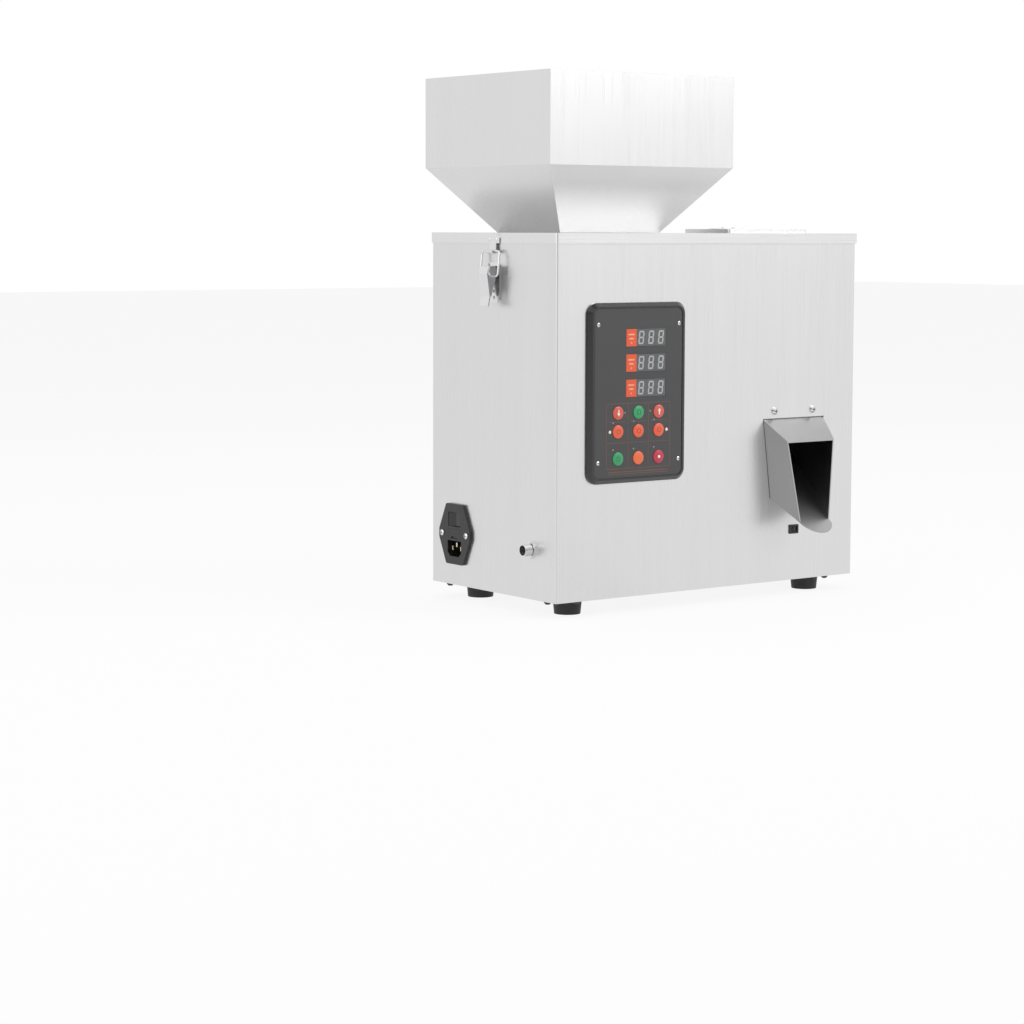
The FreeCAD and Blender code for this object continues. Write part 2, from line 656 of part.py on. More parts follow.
def rear_panel():
    """Flat back with flanges at its top and bottom, screw holes and ventilation slots."""
    plate = slab((LEFT, RIGHT), (REAR_INNER, BACK), (CASE_Z, RIM))
    plate = rounded(plate, "z", REAR_EDGE, [(LEFT, BACK), (RIGHT, BACK)])
    reach = RIGHT - SHEET - FLANGE - SLIP
    flanges = [slab((-reach, reach), (BACK - SHEET - FLANGE, REAR_INNER), (low, low + SHEET))
               for low in (BASE_TOP, RIM - SHEET)]
    through = REAR_INNER - SHEET
    cuts = [rod((x, through, z), (0, 1, 0), M3_R + HOLE_PLAY, 3 * SHEET) for x, z in rear_screw_spots()]
    cuts += [rod((x, y, CASE_Z), (0, 0, 1), M3_R + HOLE_PLAY, 3 * BASE_THICKNESS) for x, y in base_screw_spots()]
    for side in (-1, 1):
        middle = side * (RIGHT - VENT_FROM_SIDE)
        for row in range(VENT_COUNT):
            height = CASE_Z + VENT_HEIGHT + row * VENT_PITCH
            slot = slab(span(middle, VENT_LENGTH), (through, BACK + SHEET), span(height, VENT_WIDTH))
            cuts.append(rounded(slot, "y", VENT_WIDTH / 2 - SLOT_END_PLAY))
    return joined(plate, *flanges).cut(cuts)


def rear_screws():
    return [screw((x, BACK, z), (0, 1, 0), M3_R, PAN_HEAD_R, PAN_HEAD_H, 4 * SHEET) for x, z in rear_screw_spots()]


def base_plate():
    """Floor plate inside the wrap, on which the insides stand."""
    side = RIGHT - SHEET - SLIP
    plate = slab((-side, side), (FRONT + SHEET + SLIP, REAR_INNER - SHEET - SLIP), (CASE_Z, BASE_TOP))
    cuts = [rod((x, y, CASE_Z), (0, 0, 1), M3_R + HOLE_PLAY, BASE_THICKNESS) for x, y in base_screw_spots()]
    cuts += [rod((x, y, CASE_Z), (0, 0, 1), M4_R + HOLE_PLAY, BASE_THICKNESS) for x, y in foot_spots()]
    return plate.cut(cuts)


def base_screws():
    return [screw((x, y, CASE_Z), (0, 0, -1), M3_R, PAN_HEAD_R, BASE_HEAD_H, BASE_THICKNESS + 2 * SHEET)
            for x, y in base_screw_spots()]


def feet():
    """Tapered rubber feet with a screw recess underneath."""
    foot = Part.makeCone(FOOT_BOTTOM_R, FOOT_TOP_R, FOOT_HEIGHT)
    foot = foot.cut([Part.makeCylinder(FOOT_RECESS_R, FOOT_RECESS),
                     Part.makeCylinder(M4_R + HOLE_PLAY, FOOT_HEIGHT)])
    return [foot.translated(Vec(x, y, 0)) for x, y in foot_spots()]


def foot_screws():
    length = FOOT_HEIGHT - FOOT_RECESS + BASE_THICKNESS + 2 * M4_R
    return [screw((x, y, FOOT_RECESS), (0, 0, -1), M4_R, PAN_HEAD_R, PAN_HEAD_H, length,
                  FOOT_HEIGHT - FOOT_RECESS + BASE_THICKNESS) for x, y in foot_spots()]


# ---- lid, hopper and hatch ----
def lid():
    """Shallow cap with a skirt round the case, open for the hopper and the hatch."""
    half_x = RIGHT + LIP_OUT
    half_y = BACK + LIP_OUT
    cap = rounded(slab((-half_x, half_x), (-half_y, half_y), (LID_TOP - LID_SKIRT, LID_TOP)), "z", LID_BEND)
    hollow = slab((SHEET - half_x, half_x - SHEET), (SHEET - half_y, half_y - SHEET), (LID_TOP - LID_SKIRT, RIM))
    hollow = rounded(hollow, "z", LID_BEND - SHEET)
    neck = slab(span(HOPPER_X, NECK_WIDTH + 2 * SLIP), span(0, NECK_DEPTH + 2 * SLIP), (RIM, LID_TOP))
    hatchway = slab(span(CHUTE_X, HATCH_WIDTH - 2 * HATCH_LAP),
                    (HATCH_FRONT + HATCH_LAP, HATCH_BACK - HATCH_LAP), (RIM, LID_TOP))
    return cap.cut([hollow, neck, rounded(hatchway, "z", LID_BEND)])


def hopper_levels(inset):
    """Level rectangles of the hopper from its rim down to the throat, set in by the wall."""
    sizes = [(HOPPER_WIDTH, HOPPER_DEPTH, 0, CONE_TOP + BIN_HEIGHT), (HOPPER_WIDTH, HOPPER_DEPTH, 0, CONE_TOP),
             (NECK_WIDTH, NECK_DEPTH, 0, LID_TOP), (THROAT_WIDTH, THROAT_DEPTH, FEED_LINE_Y, THROAT_TOP),
             (THROAT_WIDTH, THROAT_DEPTH, FEED_LINE_Y, THROAT_BOTTOM)]
    return [(span(HOPPER_X, width - 2 * inset), span(y, depth - 2 * inset), z) for width, depth, y, z in sizes]


def hopper_block(inset):
    levels = hopper_levels(inset)
    blocks = [cone_block(*low, *high) for high, low in zip(levels, levels[1:])]
    return joined(*blocks)


def hopper():
    """Open bin on a four-sided cone that narrows to a throat over the feed tray."""
    shell = hopper_block(0).cut(hopper_block(HOPPER_WALL))
    top = CONE_TOP + BIN_HEIGHT
    edge_x, edge_y, _ = hopper_levels(HOPPER_WALL)[0]
    level = (top - HEM_HEIGHT, top)
    hem = slab(edge_x, edge_y, level)
    inside_x, inside_y, _ = hopper_levels(2 * HOPPER_WALL)[0]
    return joined(shell, hem.cut(slab(inside_x, inside_y, level)))


def keeper():
    """Strike on the left of the lid's skirt: a plate that curls into an upward hook."""
    face = LEFT - LIP_OUT
    front = face - KEEPER_THICKNESS
    top = slab((front, face), span(LATCH_Y, KEEPER_TOP_WIDTH), (LID_TOP - LID_SKIRT, LID_TOP - SHEET))
    top = top.makeFillet(LID_SKIRT / 2, edges_along(top, "x", [(y, LID_TOP - SHEET)
                                                             for y in span(LATCH_Y, KEEPER_TOP_WIDTH)]))
    hook_y = span(LATCH_Y, KEEPER_HOOK_WIDTH)
    stem = slab((front, face), hook_y, (CURL_Z, LID_TOP - LID_SKIRT))
    middle = (LEFT - CURL_OUT, hook_y[0], CURL_Z)
    outer_r = KEEPER_CURL_R + KEEPER_THICKNESS
    curl = rod(middle, (0, 1, 0), outer_r, KEEPER_HOOK_WIDTH).cut(
        rod(middle, (0, 1, 0), KEEPER_CURL_R, KEEPER_HOOK_WIDTH))
    below = slab(span(LEFT - CURL_OUT, 2 * outer_r), hook_y, (CURL_Z - outer_r, CURL_Z))
    lip_out = LEFT - CURL_OUT - KEEPER_CURL_R
    lip = slab((lip_out - KEEPER_THICKNESS, lip_out), hook_y, (CURL_Z, CURL_Z + KEEPER_LIP))
    return joined(top, stem, curl.common(below), lip)


def keepers():
    return [keeper(), mirrored(keeper())]


def feed_gate():
    """Slotted plate on the throat that sets the depth of the powder on the tray."""
    low = TRAY_FLOOR + GATE_ABOVE_FLOOR
    sheet = (THROAT_RIGHT + SLIP, THROAT_RIGHT + SLIP + HOPPER_WALL)
    plate = slab(sheet, span(FEED_LINE_Y, GATE_DEPTH), (low, low + GATE_HEIGHT))
    plate = rounded(plate, "x", M4_R)
    screw_z = THROAT_TOP - GATE_SCREW_BELOW_CONE
    half_slot = M4_R + HOLE_PLAY
    slot = slab(sheet, span(FEED_LINE_Y, 2 * half_slot),
                (screw_z - half_slot - GATE_TRAVEL, screw_z + half_slot))
    return plate.cut(rounded(slot, "x", half_slot - SLOT_END_PLAY))


def gate_screw():
    """Thumbscrew through the gate's slot into the throat."""
    start = (THROAT_RIGHT, FEED_LINE_Y, THROAT_TOP - GATE_SCREW_BELOW_CONE)
    shank = rod(start, (1, 0, 0), M4_R, 2 * SLIP + HOPPER_WALL)
    knob_x = THROAT_RIGHT + 2 * SLIP + HOPPER_WALL
    knob = rod((knob_x, start[1], start[2]), (1, 0, 0), GATE_KNOB_R, GATE_KNOB_LENGTH)
    grooves = []
    for i in range(GATE_KNOB_GROOVES):
        turn = 2 * math.pi * i / GATE_KNOB_GROOVES
        spot = (knob_x, start[1] + GATE_KNOB_R * math.cos(turn), start[2] + GATE_KNOB_R * math.sin(turn))
        grooves.append(rod(spot, (1, 0, 0), GATE_KNOB_GROOVE_R, GATE_KNOB_LENGTH))
    return joined(shank, knob.cut(grooves))


def hatch():
    """Shallow folded cover over the hatchway."""
    x = span(CHUTE_X, HATCH_WIDTH)
    top = LID_TOP + HATCH_HEIGHT
    cover = rounded(slab(x, (HATCH_FRONT, HATCH_BACK), (LID_TOP, top)), "z", LID_BEND)
    hollow = slab((x[0] + SHEET, x[1] - SHEET), (HATCH_FRONT + SHEET, HATCH_BACK - SHEET), (LID_TOP, top - SHEET))
    cuts = [rounded(hollow, "z", LID_BEND - SHEET)]
    cuts += [rod((px, py, LID_TOP), (0, 0, 1), HATCH_SCREW_R / 2 + HOLE_PLAY, HATCH_HEIGHT)
             for px, py in hatch_screw_spots()]
    return cover.cut(cuts)


def hatch_screw_spots():
    return [(CHUTE_X + i * HATCH_SCREW_PITCH / 2, HATCH_BACK - HINGE_LEAF_DEPTH / 2) for i in (-1, 1)]


def knuckle(x):
    """Hinge barrel between two X values, with room for the pin."""
    start = (x[0], HINGE_Y, HINGE_Z)
    return rod(start, (1, 0, 0), KNUCKLE_R, x[1] - x[0]).cut(
        rod(start, (1, 0, 0), HINGE_PIN_R + HINGE_PLAY, x[1] - x[0]))


def hinge_thirds():
    """The three barrel lengths of the hinge, left to right."""
    low, high = span(CHUTE_X, HINGE_LENGTH)
    third = HINGE_LENGTH / 3
    return [(low, low + third), (low + third + KNUCKLE_GAP, high - third - KNUCKLE_GAP), (high - third, high)]


def hatch_leaf():
    """Moving hinge leaf on top of the hatch, with the middle barrel."""
    top = HINGE_Z + KNUCKLE_R
    leaf = slab(span(CHUTE_X, HINGE_LENGTH), (HATCH_BACK - HINGE_LEAF_DEPTH, HATCH_BACK), (top - HINGE_LEAF, top))
    middle = hinge_thirds()[1]
    bridge = slab(middle, (HATCH_BACK, HINGE_Y), (top - HINGE_LEAF, top))
    bore = rod((middle[0], HINGE_Y, HINGE_Z), (1, 0, 0), KNUCKLE_R - HINGE_LEAF, middle[1] - middle[0])
    holes = [rod((x, y, top - HINGE_LEAF), (0, 0, 1), HATCH_SCREW_R / 2 + HOLE_PLAY, HINGE_LEAF)
             for x, y in hatch_screw_spots()]
    return joined(leaf, bridge.cut(bore), knuckle(middle)).cut(holes)


def hatch_hinge():
    """Fixed hinge leaf on the lid with its two barrels and the pin pressed through them."""
    x = span(CHUTE_X, HINGE_LENGTH)
    leaf = slab(x, (HINGE_Y, HINGE_Y + HINGE_LEAF_DEPTH), (LID_TOP, LID_TOP + HINGE_LEAF))
    solids = [leaf]
    for third in (hinge_thirds()[0], hinge_thirds()[2]):
        web = slab(third, (HINGE_Y, HINGE_Y + KNUCKLE_R), (LID_TOP, HINGE_Z))
        start = (third[0], HINGE_Y, HINGE_Z)
        solids += [web, rod(start, (1, 0, 0), KNUCKLE_R, third[1] - third[0])]
    solids.append(rod((x[0], HINGE_Y, HINGE_Z), (1, 0, 0), HINGE_PIN_R, HINGE_LENGTH))
    return joined(*solids)


def hatch_screws():
    top = HINGE_Z + KNUCKLE_R
    return [screw((x, y, top), (0, 0, 1), HATCH_SCREW_R / 2, HATCH_SCREW_R, HATCH_SCREW_H, HATCH_HEIGHT / 2)
            for x, y in hatch_screw_spots()]


# ---- toggle latches ----
def latch_pin(out, height, radius, half_length):
    return rod((LEFT - out, LATCH_Y - half_length, height), (0, 1, 0), radius, 2 * half_length)


def latch_base():
    """Plate on the case's side with two ears and the pin riveted through them."""
    top = LID_TOP - LATCH_BASE_TOP_BELOW_LID
    plate = slab((LEFT - LATCH_BASE_THICKNESS, LEFT), span(LATCH_Y, LATCH_BASE_WIDTH),
                 (top - LATCH_BASE_HEIGHT, top))
    plate = rounded(plate, "x", LATCH_BASE_CORNER)
    outer = LEVER_WIDTH / 2 - LEVER_SHEET - LEVER_PLAY
    solids = [plate]
    for side in (-1, 1):
        y = sorted((LATCH_Y + side * outer, LATCH_Y + side * (outer - LATCH_EAR)))
        ear = slab((LEFT - LATCH_EAR_OUT, LEFT - LATCH_BASE_THICKNESS), y, span(PIVOT_Z, 2 * LATCH_EAR_HALF_HEIGHT))
        corners = [(LEFT - LATCH_EAR_OUT, z) for z in span(PIVOT_Z, 2 * LATCH_EAR_HALF_HEIGHT)]
        solids.append(rounded(ear, "y", LATCH_EAR_HALF_HEIGHT / 2, corners))
    solids.append(latch_pin(LATCH_PIVOT_OUT, PIVOT_Z, LATCH_PIN_R, LEVER_WIDTH / 2 + LEVER_PLAY))
    return joined(*solids)


def latch_bases():
    return [latch_base(), mirrored(latch_base())]


def lever_face():
    """Bend points of the lever's outer face, from its top down to the finger lip."""
    return [(LEFT - LATCH_PIVOT_OUT - LEVER_TOP_ABOVE_PIVOT, PIVOT_Z + LEVER_TOP_ABOVE_PIVOT),
            (LEFT - LEVER_SHOULDER_OUT, PIVOT_Z - LEVER_SHOULDER_BELOW_PIVOT),
            (LEFT - LEVER_WAIST_OUT, PIVOT_Z - LEVER_WAIST_BELOW_PIVOT),
            (LEFT - LEVER_LIP_OUT, PIVOT_Z - LEVER_LIP_BELOW_PIVOT)]


def latch_lever():
    """Channel-shaped lever with two cheeks that narrow towards a flared finger lip."""
    face = lever_face()
    y = span(LATCH_Y, LEVER_WIDTH)
    plate = folded(face, LEVER_SHEET, "y", y)
    outline = face[:3] + [(LEFT - LEVER_WAIST_OUT + 2 * LEVER_SHEET, PIVOT_Z - LEVER_WAIST_BELOW_PIVOT),
                          (LEFT - LEVER_CHEEK_OUT, BAIL_PIVOT_Z - 3 * BAIL_WIRE_R),
                          (LEFT - LEVER_CHEEK_OUT, PIVOT_Z + LEVER_TOP_ABOVE_PIVOT)]
    cheeks = [prism(outline, "y", (y[0], y[0] + LEVER_SHEET)), prism(outline, "y", (y[1] - LEVER_SHEET, y[1]))]
    lever = joined(plate, *cheeks)
    return lever.cut([latch_pin(LATCH_PIVOT_OUT, PIVOT_Z, LATCH_PIN_R + HINGE_PLAY, LEVER_WIDTH),
                      latch_pin(BAIL_PIVOT_OUT, BAIL_PIVOT_Z, BAIL_WIRE_R + HINGE_PLAY, LEVER_WIDTH)])


def latch_bail():
    """Wire loop: two feet in the lever's cheeks, two legs and the bar that lies in the keeper."""
    foot = Vec(LEFT - BAIL_PIVOT_OUT, LATCH_Y, BAIL_PIVOT_Z)
    bar = Vec(LEFT - CURL_OUT, LATCH_Y, BAIL_BAR_Z)
    inside = LEVER_WIDTH / 2 - LEVER_SHEET
    turns = [foot + Vec(0, -inside, 0), foot + Vec(0, -BAIL_HALF_WIDTH, 0), bar + Vec(0, -BAIL_HALF_WIDTH, 0),
             bar + Vec(0, BAIL_HALF_WIDTH, 0), foot + Vec(0, BAIL_HALF_WIDTH, 0), foot + Vec(0, inside, 0)]
    return wire_rod(turns, BAIL_BEND, BAIL_WIRE_R)


def wire_rod(turns, bend, radius):
    """Round wire along straight runs joined by tangent bends."""
    edges = []
    start = turns[0]
    for before, corner, after in zip(turns, turns[1:], turns[2:]):
        back = (before - corner).normalize()
        ahead = (after - corner).normalize()
        half = back.getAngle(ahead) / 2
        trim = bend / math.tan(half)
        centre_way = (back + ahead).normalize()
        middle = corner + centre_way * (bend / math.sin(half) - bend)
        edges.append(Part.makeLine(start, corner + back * trim))
        edges.append(Part.Arc(corner + back * trim, middle, corner + ahead * trim).toShape())
        start = corner + ahead * trim
    edges.append(Part.makeLine(start, turns[-1]))
    section = Part.Wire(Part.makeCircle(radius, turns[0], turns[1] - turns[0]))
    return Part.Wire(edges).makePipeShell([section], True, True)


# ---- control panel ----
def panel_bezel():
    """Moulded frame with a bevelled rim and a pocket for the printed overlay."""
    frame = slab(span(PANEL_X, BEZEL_WIDTH), (BEZEL_FACE, FRONT), span(PANEL_Z, BEZEL_TALL))
    frame = rounded(frame, "y", BEZEL_CORNER)
    rim = [e for e in frame.Edges if all(abs(v.Point.y - BEZEL_FACE) < 0.01 for v in e.Vertexes)]
    frame = frame.makeChamfer(BEZEL_CHAMFER, rim)
    pocket = slab(span(PANEL_X, OVERLAY_WIDTH + 2 * SLIP), (BEZEL_FACE, OVERLAY_BACK),
                  span(PANEL_Z, OVERLAY_TALL + 2 * SLIP))
    cuts = [rounded(pocket, "y", OVERLAY_CORNER), panel_window((BEZEL_FACE, FRONT))]
    cuts += [rod((x, BEZEL_FACE, z), (0, 1, 0), PANEL_SCREW_R + HOLE_PLAY, BEZEL_PROUD)
             for x, z in panel_screw_spots()]
    return frame.cut(cuts)


def display_spots():
    return [(PANEL_X + DISPLAY_X, PANEL_Z + DISPLAY_TOP - row * DISPLAY_PITCH) for row in range(3)]


def button_spots():
    return [(PANEL_X + x, PANEL_Z + z) for z in BUTTON_ROWS for x in BUTTON_COLUMNS]


def lamp_spots():
    return [(PANEL_X + x, PANEL_Z + z) for x, z in LAMP_SPOTS]


def panel_overlay():
    """Printed front sheet with holes for the buttons, displays, lamps and screws."""
    sheet = slab(span(PANEL_X, OVERLAY_WIDTH), (OVERLAY_FACE, OVERLAY_BACK), span(PANEL_Z, OVERLAY_TALL))
    sheet = rounded(sheet, "y", OVERLAY_CORNER)
    depth = (OVERLAY_FACE, OVERLAY_BACK)
    cuts = [slab(span(x, DISPLAY_WIDTH + 2 * SLIP), depth, span(z, DISPLAY_TALL + 2 * SLIP))
            for x, z in display_spots()]
    rounds = [(button_spots(), BUTTON_R + BUTTON_PLAY), (lamp_spots(), LAMP_R + HOLE_PLAY),
              (panel_screw_spots(), PANEL_SCREW_R + HOLE_PLAY)]
    for spots, radius in rounds:
        cuts += [rod((x, OVERLAY_FACE, z), (0, 1, 0), radius, OVERLAY_THICKNESS) for x, z in spots]
    return sheet.cut(cuts)


def panel_screws():
    length = BOARD_FRONT + BOARD_THICKNESS - OVERLAY_FACE
    return [screw((x, OVERLAY_FACE, z), (0, -1, 0), PANEL_SCREW_R, PANEL_SCREW_HEAD_R, PANEL_SCREW_HEAD_H,
                  length + 2 * PANEL_SCREW_R, length) for x, z in panel_screw_spots()]


def displays():
    return [slab(span(x, DISPLAY_WIDTH), (OVERLAY_FACE + DISPLAY_SUNK, BOARD_FRONT), span(z, DISPLAY_TALL))
            for x, z in display_spots()]


def indicator_leds():
    length = BOARD_FRONT - OVERLAY_FACE + LAMP_PROUD
    return [placed(domed(LAMP_R, length, length - LAMP_PROUD), (x, BOARD_FRONT, z), (0, -1, 0))
            for x, z in lamp_spots()]


def control_board():
    """Circuit board on four standoffs, with a key switch behind each button."""
    board = slab(span(PANEL_X, BOARD_WIDTH), (BOARD_FRONT, BOARD_FRONT + BOARD_THICKNESS),
                 span(PANEL_Z, BOARD_TALL))
    inside = FRONT + SHEET
    solids = [rod((x, inside, z), (0, 1, 0), STANDOFF_R, BOARD_FRONT - inside) for x, z in panel_screw_spots()]
    solids += [slab(span(x, SWITCH_SIDE), (BOARD_FRONT - SWITCH_HEIGHT, BOARD_FRONT), span(z, SWITCH_SIDE))
               for x, z in button_spots()]
    holes = [rod((x, inside, z), (0, 1, 0), PANEL_SCREW_R + HOLE_PLAY, BOARD_FRONT + BOARD_THICKNESS - inside)
             for x, z in panel_screw_spots()]
    return joined(board, *solids).cut(holes)


def button(x, z):
    """Domed cap with a rim behind the overlay and a stem down to its switch."""
    rim_front = OVERLAY_BACK + BUTTON_RIM_PLAY
    stem_end = BOARD_FRONT - SWITCH_HEIGHT - BUTTON_TRAVEL - BUTTON_STEM_PLAY
    back = rim_front + BUTTON_RIM
    height = back - OVERLAY_FACE + BUTTON_PROUD
    cap = placed(domed(BUTTON_R, height, height - BUTTON_PROUD + BUTTON_EDGE), (x, back, z), (0, -1, 0))
    rim = rod((x, rim_front, z), (0, 1, 0), BUTTON_RIM_R, BUTTON_RIM)
    stem = rod((x, back, z), (0, 1, 0), BUTTON_STEM_R, stem_end - back)
    return joined(cap, rim, stem)


# ---- discharge chute and sensor ----
def chute_half_width(y, z):
    """Half the chute's outer width, which narrows downwards and towards the mouth."""
    return CHUTE_HALF_WIDTH - CHUTE_TAPER_OUT * (FRONT - y) - CHUTE_TAPER_DOWN * (CHUTE_ROOF - z)


def floor_z(y):
    return CHUTE_FLOOR + FLOOR_SLOPE * (y - FRONT)


def roof_z(y):
    return CHUTE_ROOF + ROOF_SLOPE * (y - FRONT)


def chute_sides(inset):
    """Tapered block between the side walls, which turn parallel under the bucket."""
    taper = inset * math.sqrt(1 + CHUTE_TAPER_OUT ** 2 + CHUTE_TAPER_DOWN ** 2)
    front = FRONT - 2 * CHUTE_MOUTH_REACH
    rings = []
    for z in (CASE_Z, FUNNEL_TOP + BUCKET_TALL):
        near = chute_half_width(front, z) - taper
        far = chute_half_width(FUNNEL_BACK, z) - taper
        corners = [Vec(CHUTE_X - near, front, z), Vec(CHUTE_X + near, front, z),
                   Vec(CHUTE_X + far, FUNNEL_BACK, z), Vec(CHUTE_X - far, FUNNEL_BACK, z)]
        rings.append(corners)
    block = flat_sided(*rings)
    limit = slab(span(CHUTE_X, 2 * (FUNNEL_HALF_WIDTH - inset)), (front, FUNNEL_BACK),
                 (CASE_Z, FUNNEL_TOP + BUCKET_TALL))
    return block.common(limit)


def chute_tongue():
    """Rounded end of the floor plate, beyond the side walls."""
    half = MOUTH_HALF_WIDTH
    left = [Vec(-half, -SHEET, 0), Vec(-half, 0, 0), Vec(-half + SHEET / 2, TONGUE_STRAIGHT, 0)]
    right = [Vec(-p.x, p.y, 0) for p in reversed(left)]
    edges = [Part.makeLine(a, b) for a, b in zip(left, left[1:])]
    edges.append(Part.Arc(left[-1], Vec(0, TONGUE_LENGTH, 0), right[0]).toShape())
    edges += [Part.makeLine(a, b) for a, b in zip(right, right[1:])]
    edges.append(Part.makeLine(right[-1], left[0]))
    plate = Part.Face(Part.Wire(edges)).extrude(Vec(0, 0, SHEET))
    down = Vec(0, -math.cos(TONGUE_FALL), -math.sin(TONGUE_FALL))
    normal = Vec(0, -math.sin(TONGUE_FALL), math.cos(TONGUE_FALL))
    mouth = Vec(CHUTE_X, FRONT - CHUTE_MOUTH_REACH, floor_z(FRONT - CHUTE_MOUTH_REACH))
    plate.Placement = FreeCAD.Placement(mouth, FreeCAD.Rotation(Vec(-1, 0, 0), down, normal, "ZXY"))
    return plate


def discharge_chute():
    """Folded chute: a hood outside the case and a funnel under the bucket inside it."""
    mouth = FRONT - CHUTE_MOUTH_REACH
    roof_end = FRONT - CHUTE_ROOF_REACH
    inside = FRONT + SHEET
    outer = [(roof_end, roof_z(roof_end)), (mouth, floor_z(mouth)), (FUNNEL_BACK, floor_z(FUNNEL_BACK)),
             (FUNNEL_BACK, FUNNEL_TOP), (inside, FUNNEL_TOP), (inside, roof_z(inside))]
    floor_rise = SHEET * math.hypot(1, FLOOR_SLOPE)
    roof_fall = SHEET * math.hypot(1, ROOF_SLOPE)
    beyond = mouth - SHEET
    above = FUNNEL_TOP + SHEET
    flange = inside + SHEET
    behind = FUNNEL_BACK - SHEET
    inner = [(beyond, roof_z(beyond) - roof_fall), (beyond, floor_z(beyond) + floor_rise),
             (behind, floor_z(behind) + floor_rise), (behind, above), (flange, above),
             (flange, roof_z(flange) - roof_fall)]
    wide = span(CHUTE_X, 2 * (FUNNEL_HALF_WIDTH + SHEET))
    body = prism(outer, "x", wide).common(chute_sides(0))
    hollow = prism(inner, "x", wide).common(chute_sides(SHEET))
    holes = [rod((x, inside, z), (0, 1, 0), M4_R + HOLE_PLAY, SHEET) for x, z in chute_screw_spots()]
    return joined(body.cut(hollow), chute_tongue()).cut(holes)


def chute_screws():
    return [screw((x, FRONT, z), (0, -1, 0), M4_R, PAN_HEAD_R, PAN_HEAD_H, 2 * SHEET + 2 * M4_R, 2 * SHEET)
            for x, z in chute_screw_spots()]


def sensor_block(y, margin):
    """Body of the bag sensor between two Y values, or the hole for it with a margin."""
    return slab(span(CHUTE_X + SENSOR_X, SENSOR_WIDTH - SENSOR_FRAME + 2 * margin), y,
                span(CASE_Z + SENSOR_HEIGHT, SENSOR_TALL - SENSOR_FRAME + 2 * margin))


def bag_sensor():
    """Optical sensor with a framed window below the chute."""
    frame = slab(span(CHUTE_X + SENSOR_X, SENSOR_WIDTH), (FRONT - SENSOR_PROUD, FRONT),
                 span(CASE_Z + SENSOR_HEIGHT, SENSOR_TALL))
    frame = rounded(frame, "y", SENSOR_FRAME / 2)
    body = sensor_block((FRONT, FRONT + SENSOR_DEPTH), 0)
    window = slab(span(CHUTE_X + SENSOR_X, SENSOR_WIDTH - 2 * SENSOR_FRAME), (FRONT - SENSOR_PROUD, FRONT),
                  span(CASE_Z + SENSOR_HEIGHT, SENSOR_TALL - 2 * SENSOR_FRAME))
    return joined(frame, body).cut(window)


# ---- power inlet ----
def inlet_flange(x):
    """Six-sided flange, widest where its two screws are."""
    end = INLET_END_WIDTH / 2
    wide = INLET_MIDDLE_WIDTH / 2
    corners = [(-end, INLET_TALL / 2), (end, INLET_TALL / 2), (wide, INLET_MIDDLE_TALL / 2),
               (wide, -INLET_MIDDLE_TALL / 2), (end, -INLET_TALL / 2), (-end, -INLET_TALL / 2),
               (-wide, -INLET_MIDDLE_TALL / 2), (-wide, INLET_MIDDLE_TALL / 2)]
    outline = [(INLET_Y + y, INLET_Z + z) for y, z in corners]
    return rounded(prism(outline, "x", x), "x", INLET_CORNER)


def socket_cavity():
    """Recess of the appliance inlet, with its two lower corners cut off."""
    z = span(INLET_Z - SOCKET_DOWN, SOCKET_TALL)
    y = span(INLET_Y, SOCKET_WIDTH)
    block = slab((INLET_FACE, INLET_FACE + SOCKET_DEPTH), y, z)
    corners = edges_along(block, "x", [(y[0], z[0]), (y[1], z[0])])
    return block.makeChamfer(SOCKET_CORNER, corners)


def inlet_housing():
    """Moulded housing for the switch, the fuse drawer and the appliance inlet."""
    body = slab((LEFT, LEFT + INLET_BODY_DEPTH), span(INLET_Y, INLET_BODY_WIDTH), span(INLET_Z, INLET_BODY_TALL))
    rocker_well = slab((INLET_FACE, INLET_FACE + ROCKER_WELL), span(INLET_Y, ROCKER_WIDTH + 2 * ROCKER_PLAY),
                       span(INLET_Z + ROCKER_UP, ROCKER_TALL + 2 * ROCKER_PLAY))
    fuse_well = slab((INLET_FACE, INLET_FACE + FUSE_DEPTH + FUSE_PLAY), span(INLET_Y, FUSE_WIDTH + 2 * FUSE_PLAY),
                     span(INLET_Z + FUSE_UP, FUSE_TALL + 2 * FUSE_PLAY))
    pin_bore = rod((INLET_FACE + ROCKER_PIVOT_IN, INLET_Y, INLET_Z + ROCKER_UP - ROCKER_TALL / 2 - 2 * ROCKER_PLAY),
                   (0, 0, 1), ROCKER_PIN_R + HINGE_PLAY, ROCKER_TALL + 4 * ROCKER_PLAY)
    cuts = [rocker_well, fuse_well, pin_bore, socket_cavity()]
    cuts += [rod((INLET_FACE, y, z), (1, 0, 0), M3_R + HOLE_PLAY, INLET_FLANGE) for y, z in inlet_screw_spots()]
    return joined(inlet_flange((INLET_FACE, LEFT)), body).cut(cuts)


def inlet_pins():
    """Three flat blades standing in the appliance inlet."""
    floor = INLET_FACE + SOCKET_DEPTH
    blades = []
    for side, up in ((-1, 0), (1, 0), (0, EARTH_UP)):
        blade = slab((floor - BLADE_LENGTH, floor), span(INLET_Y + side * BLADE_PITCH, BLADE_WIDTH),
                     span(INLET_Z - SOCKET_DOWN + up, BLADE_TALL))
        blades.append(blade)
    return blades


def inlet_screws():
    return [screw((INLET_FACE, y, z), (-1, 0, 0), M3_R, INLET_SCREW_HEAD_R, INLET_SCREW_HEAD_H,
                  INLET_FLANGE + SHEET + 2 * M3_R, INLET_FLANGE + SHEET) for y, z in inlet_screw_spots()]


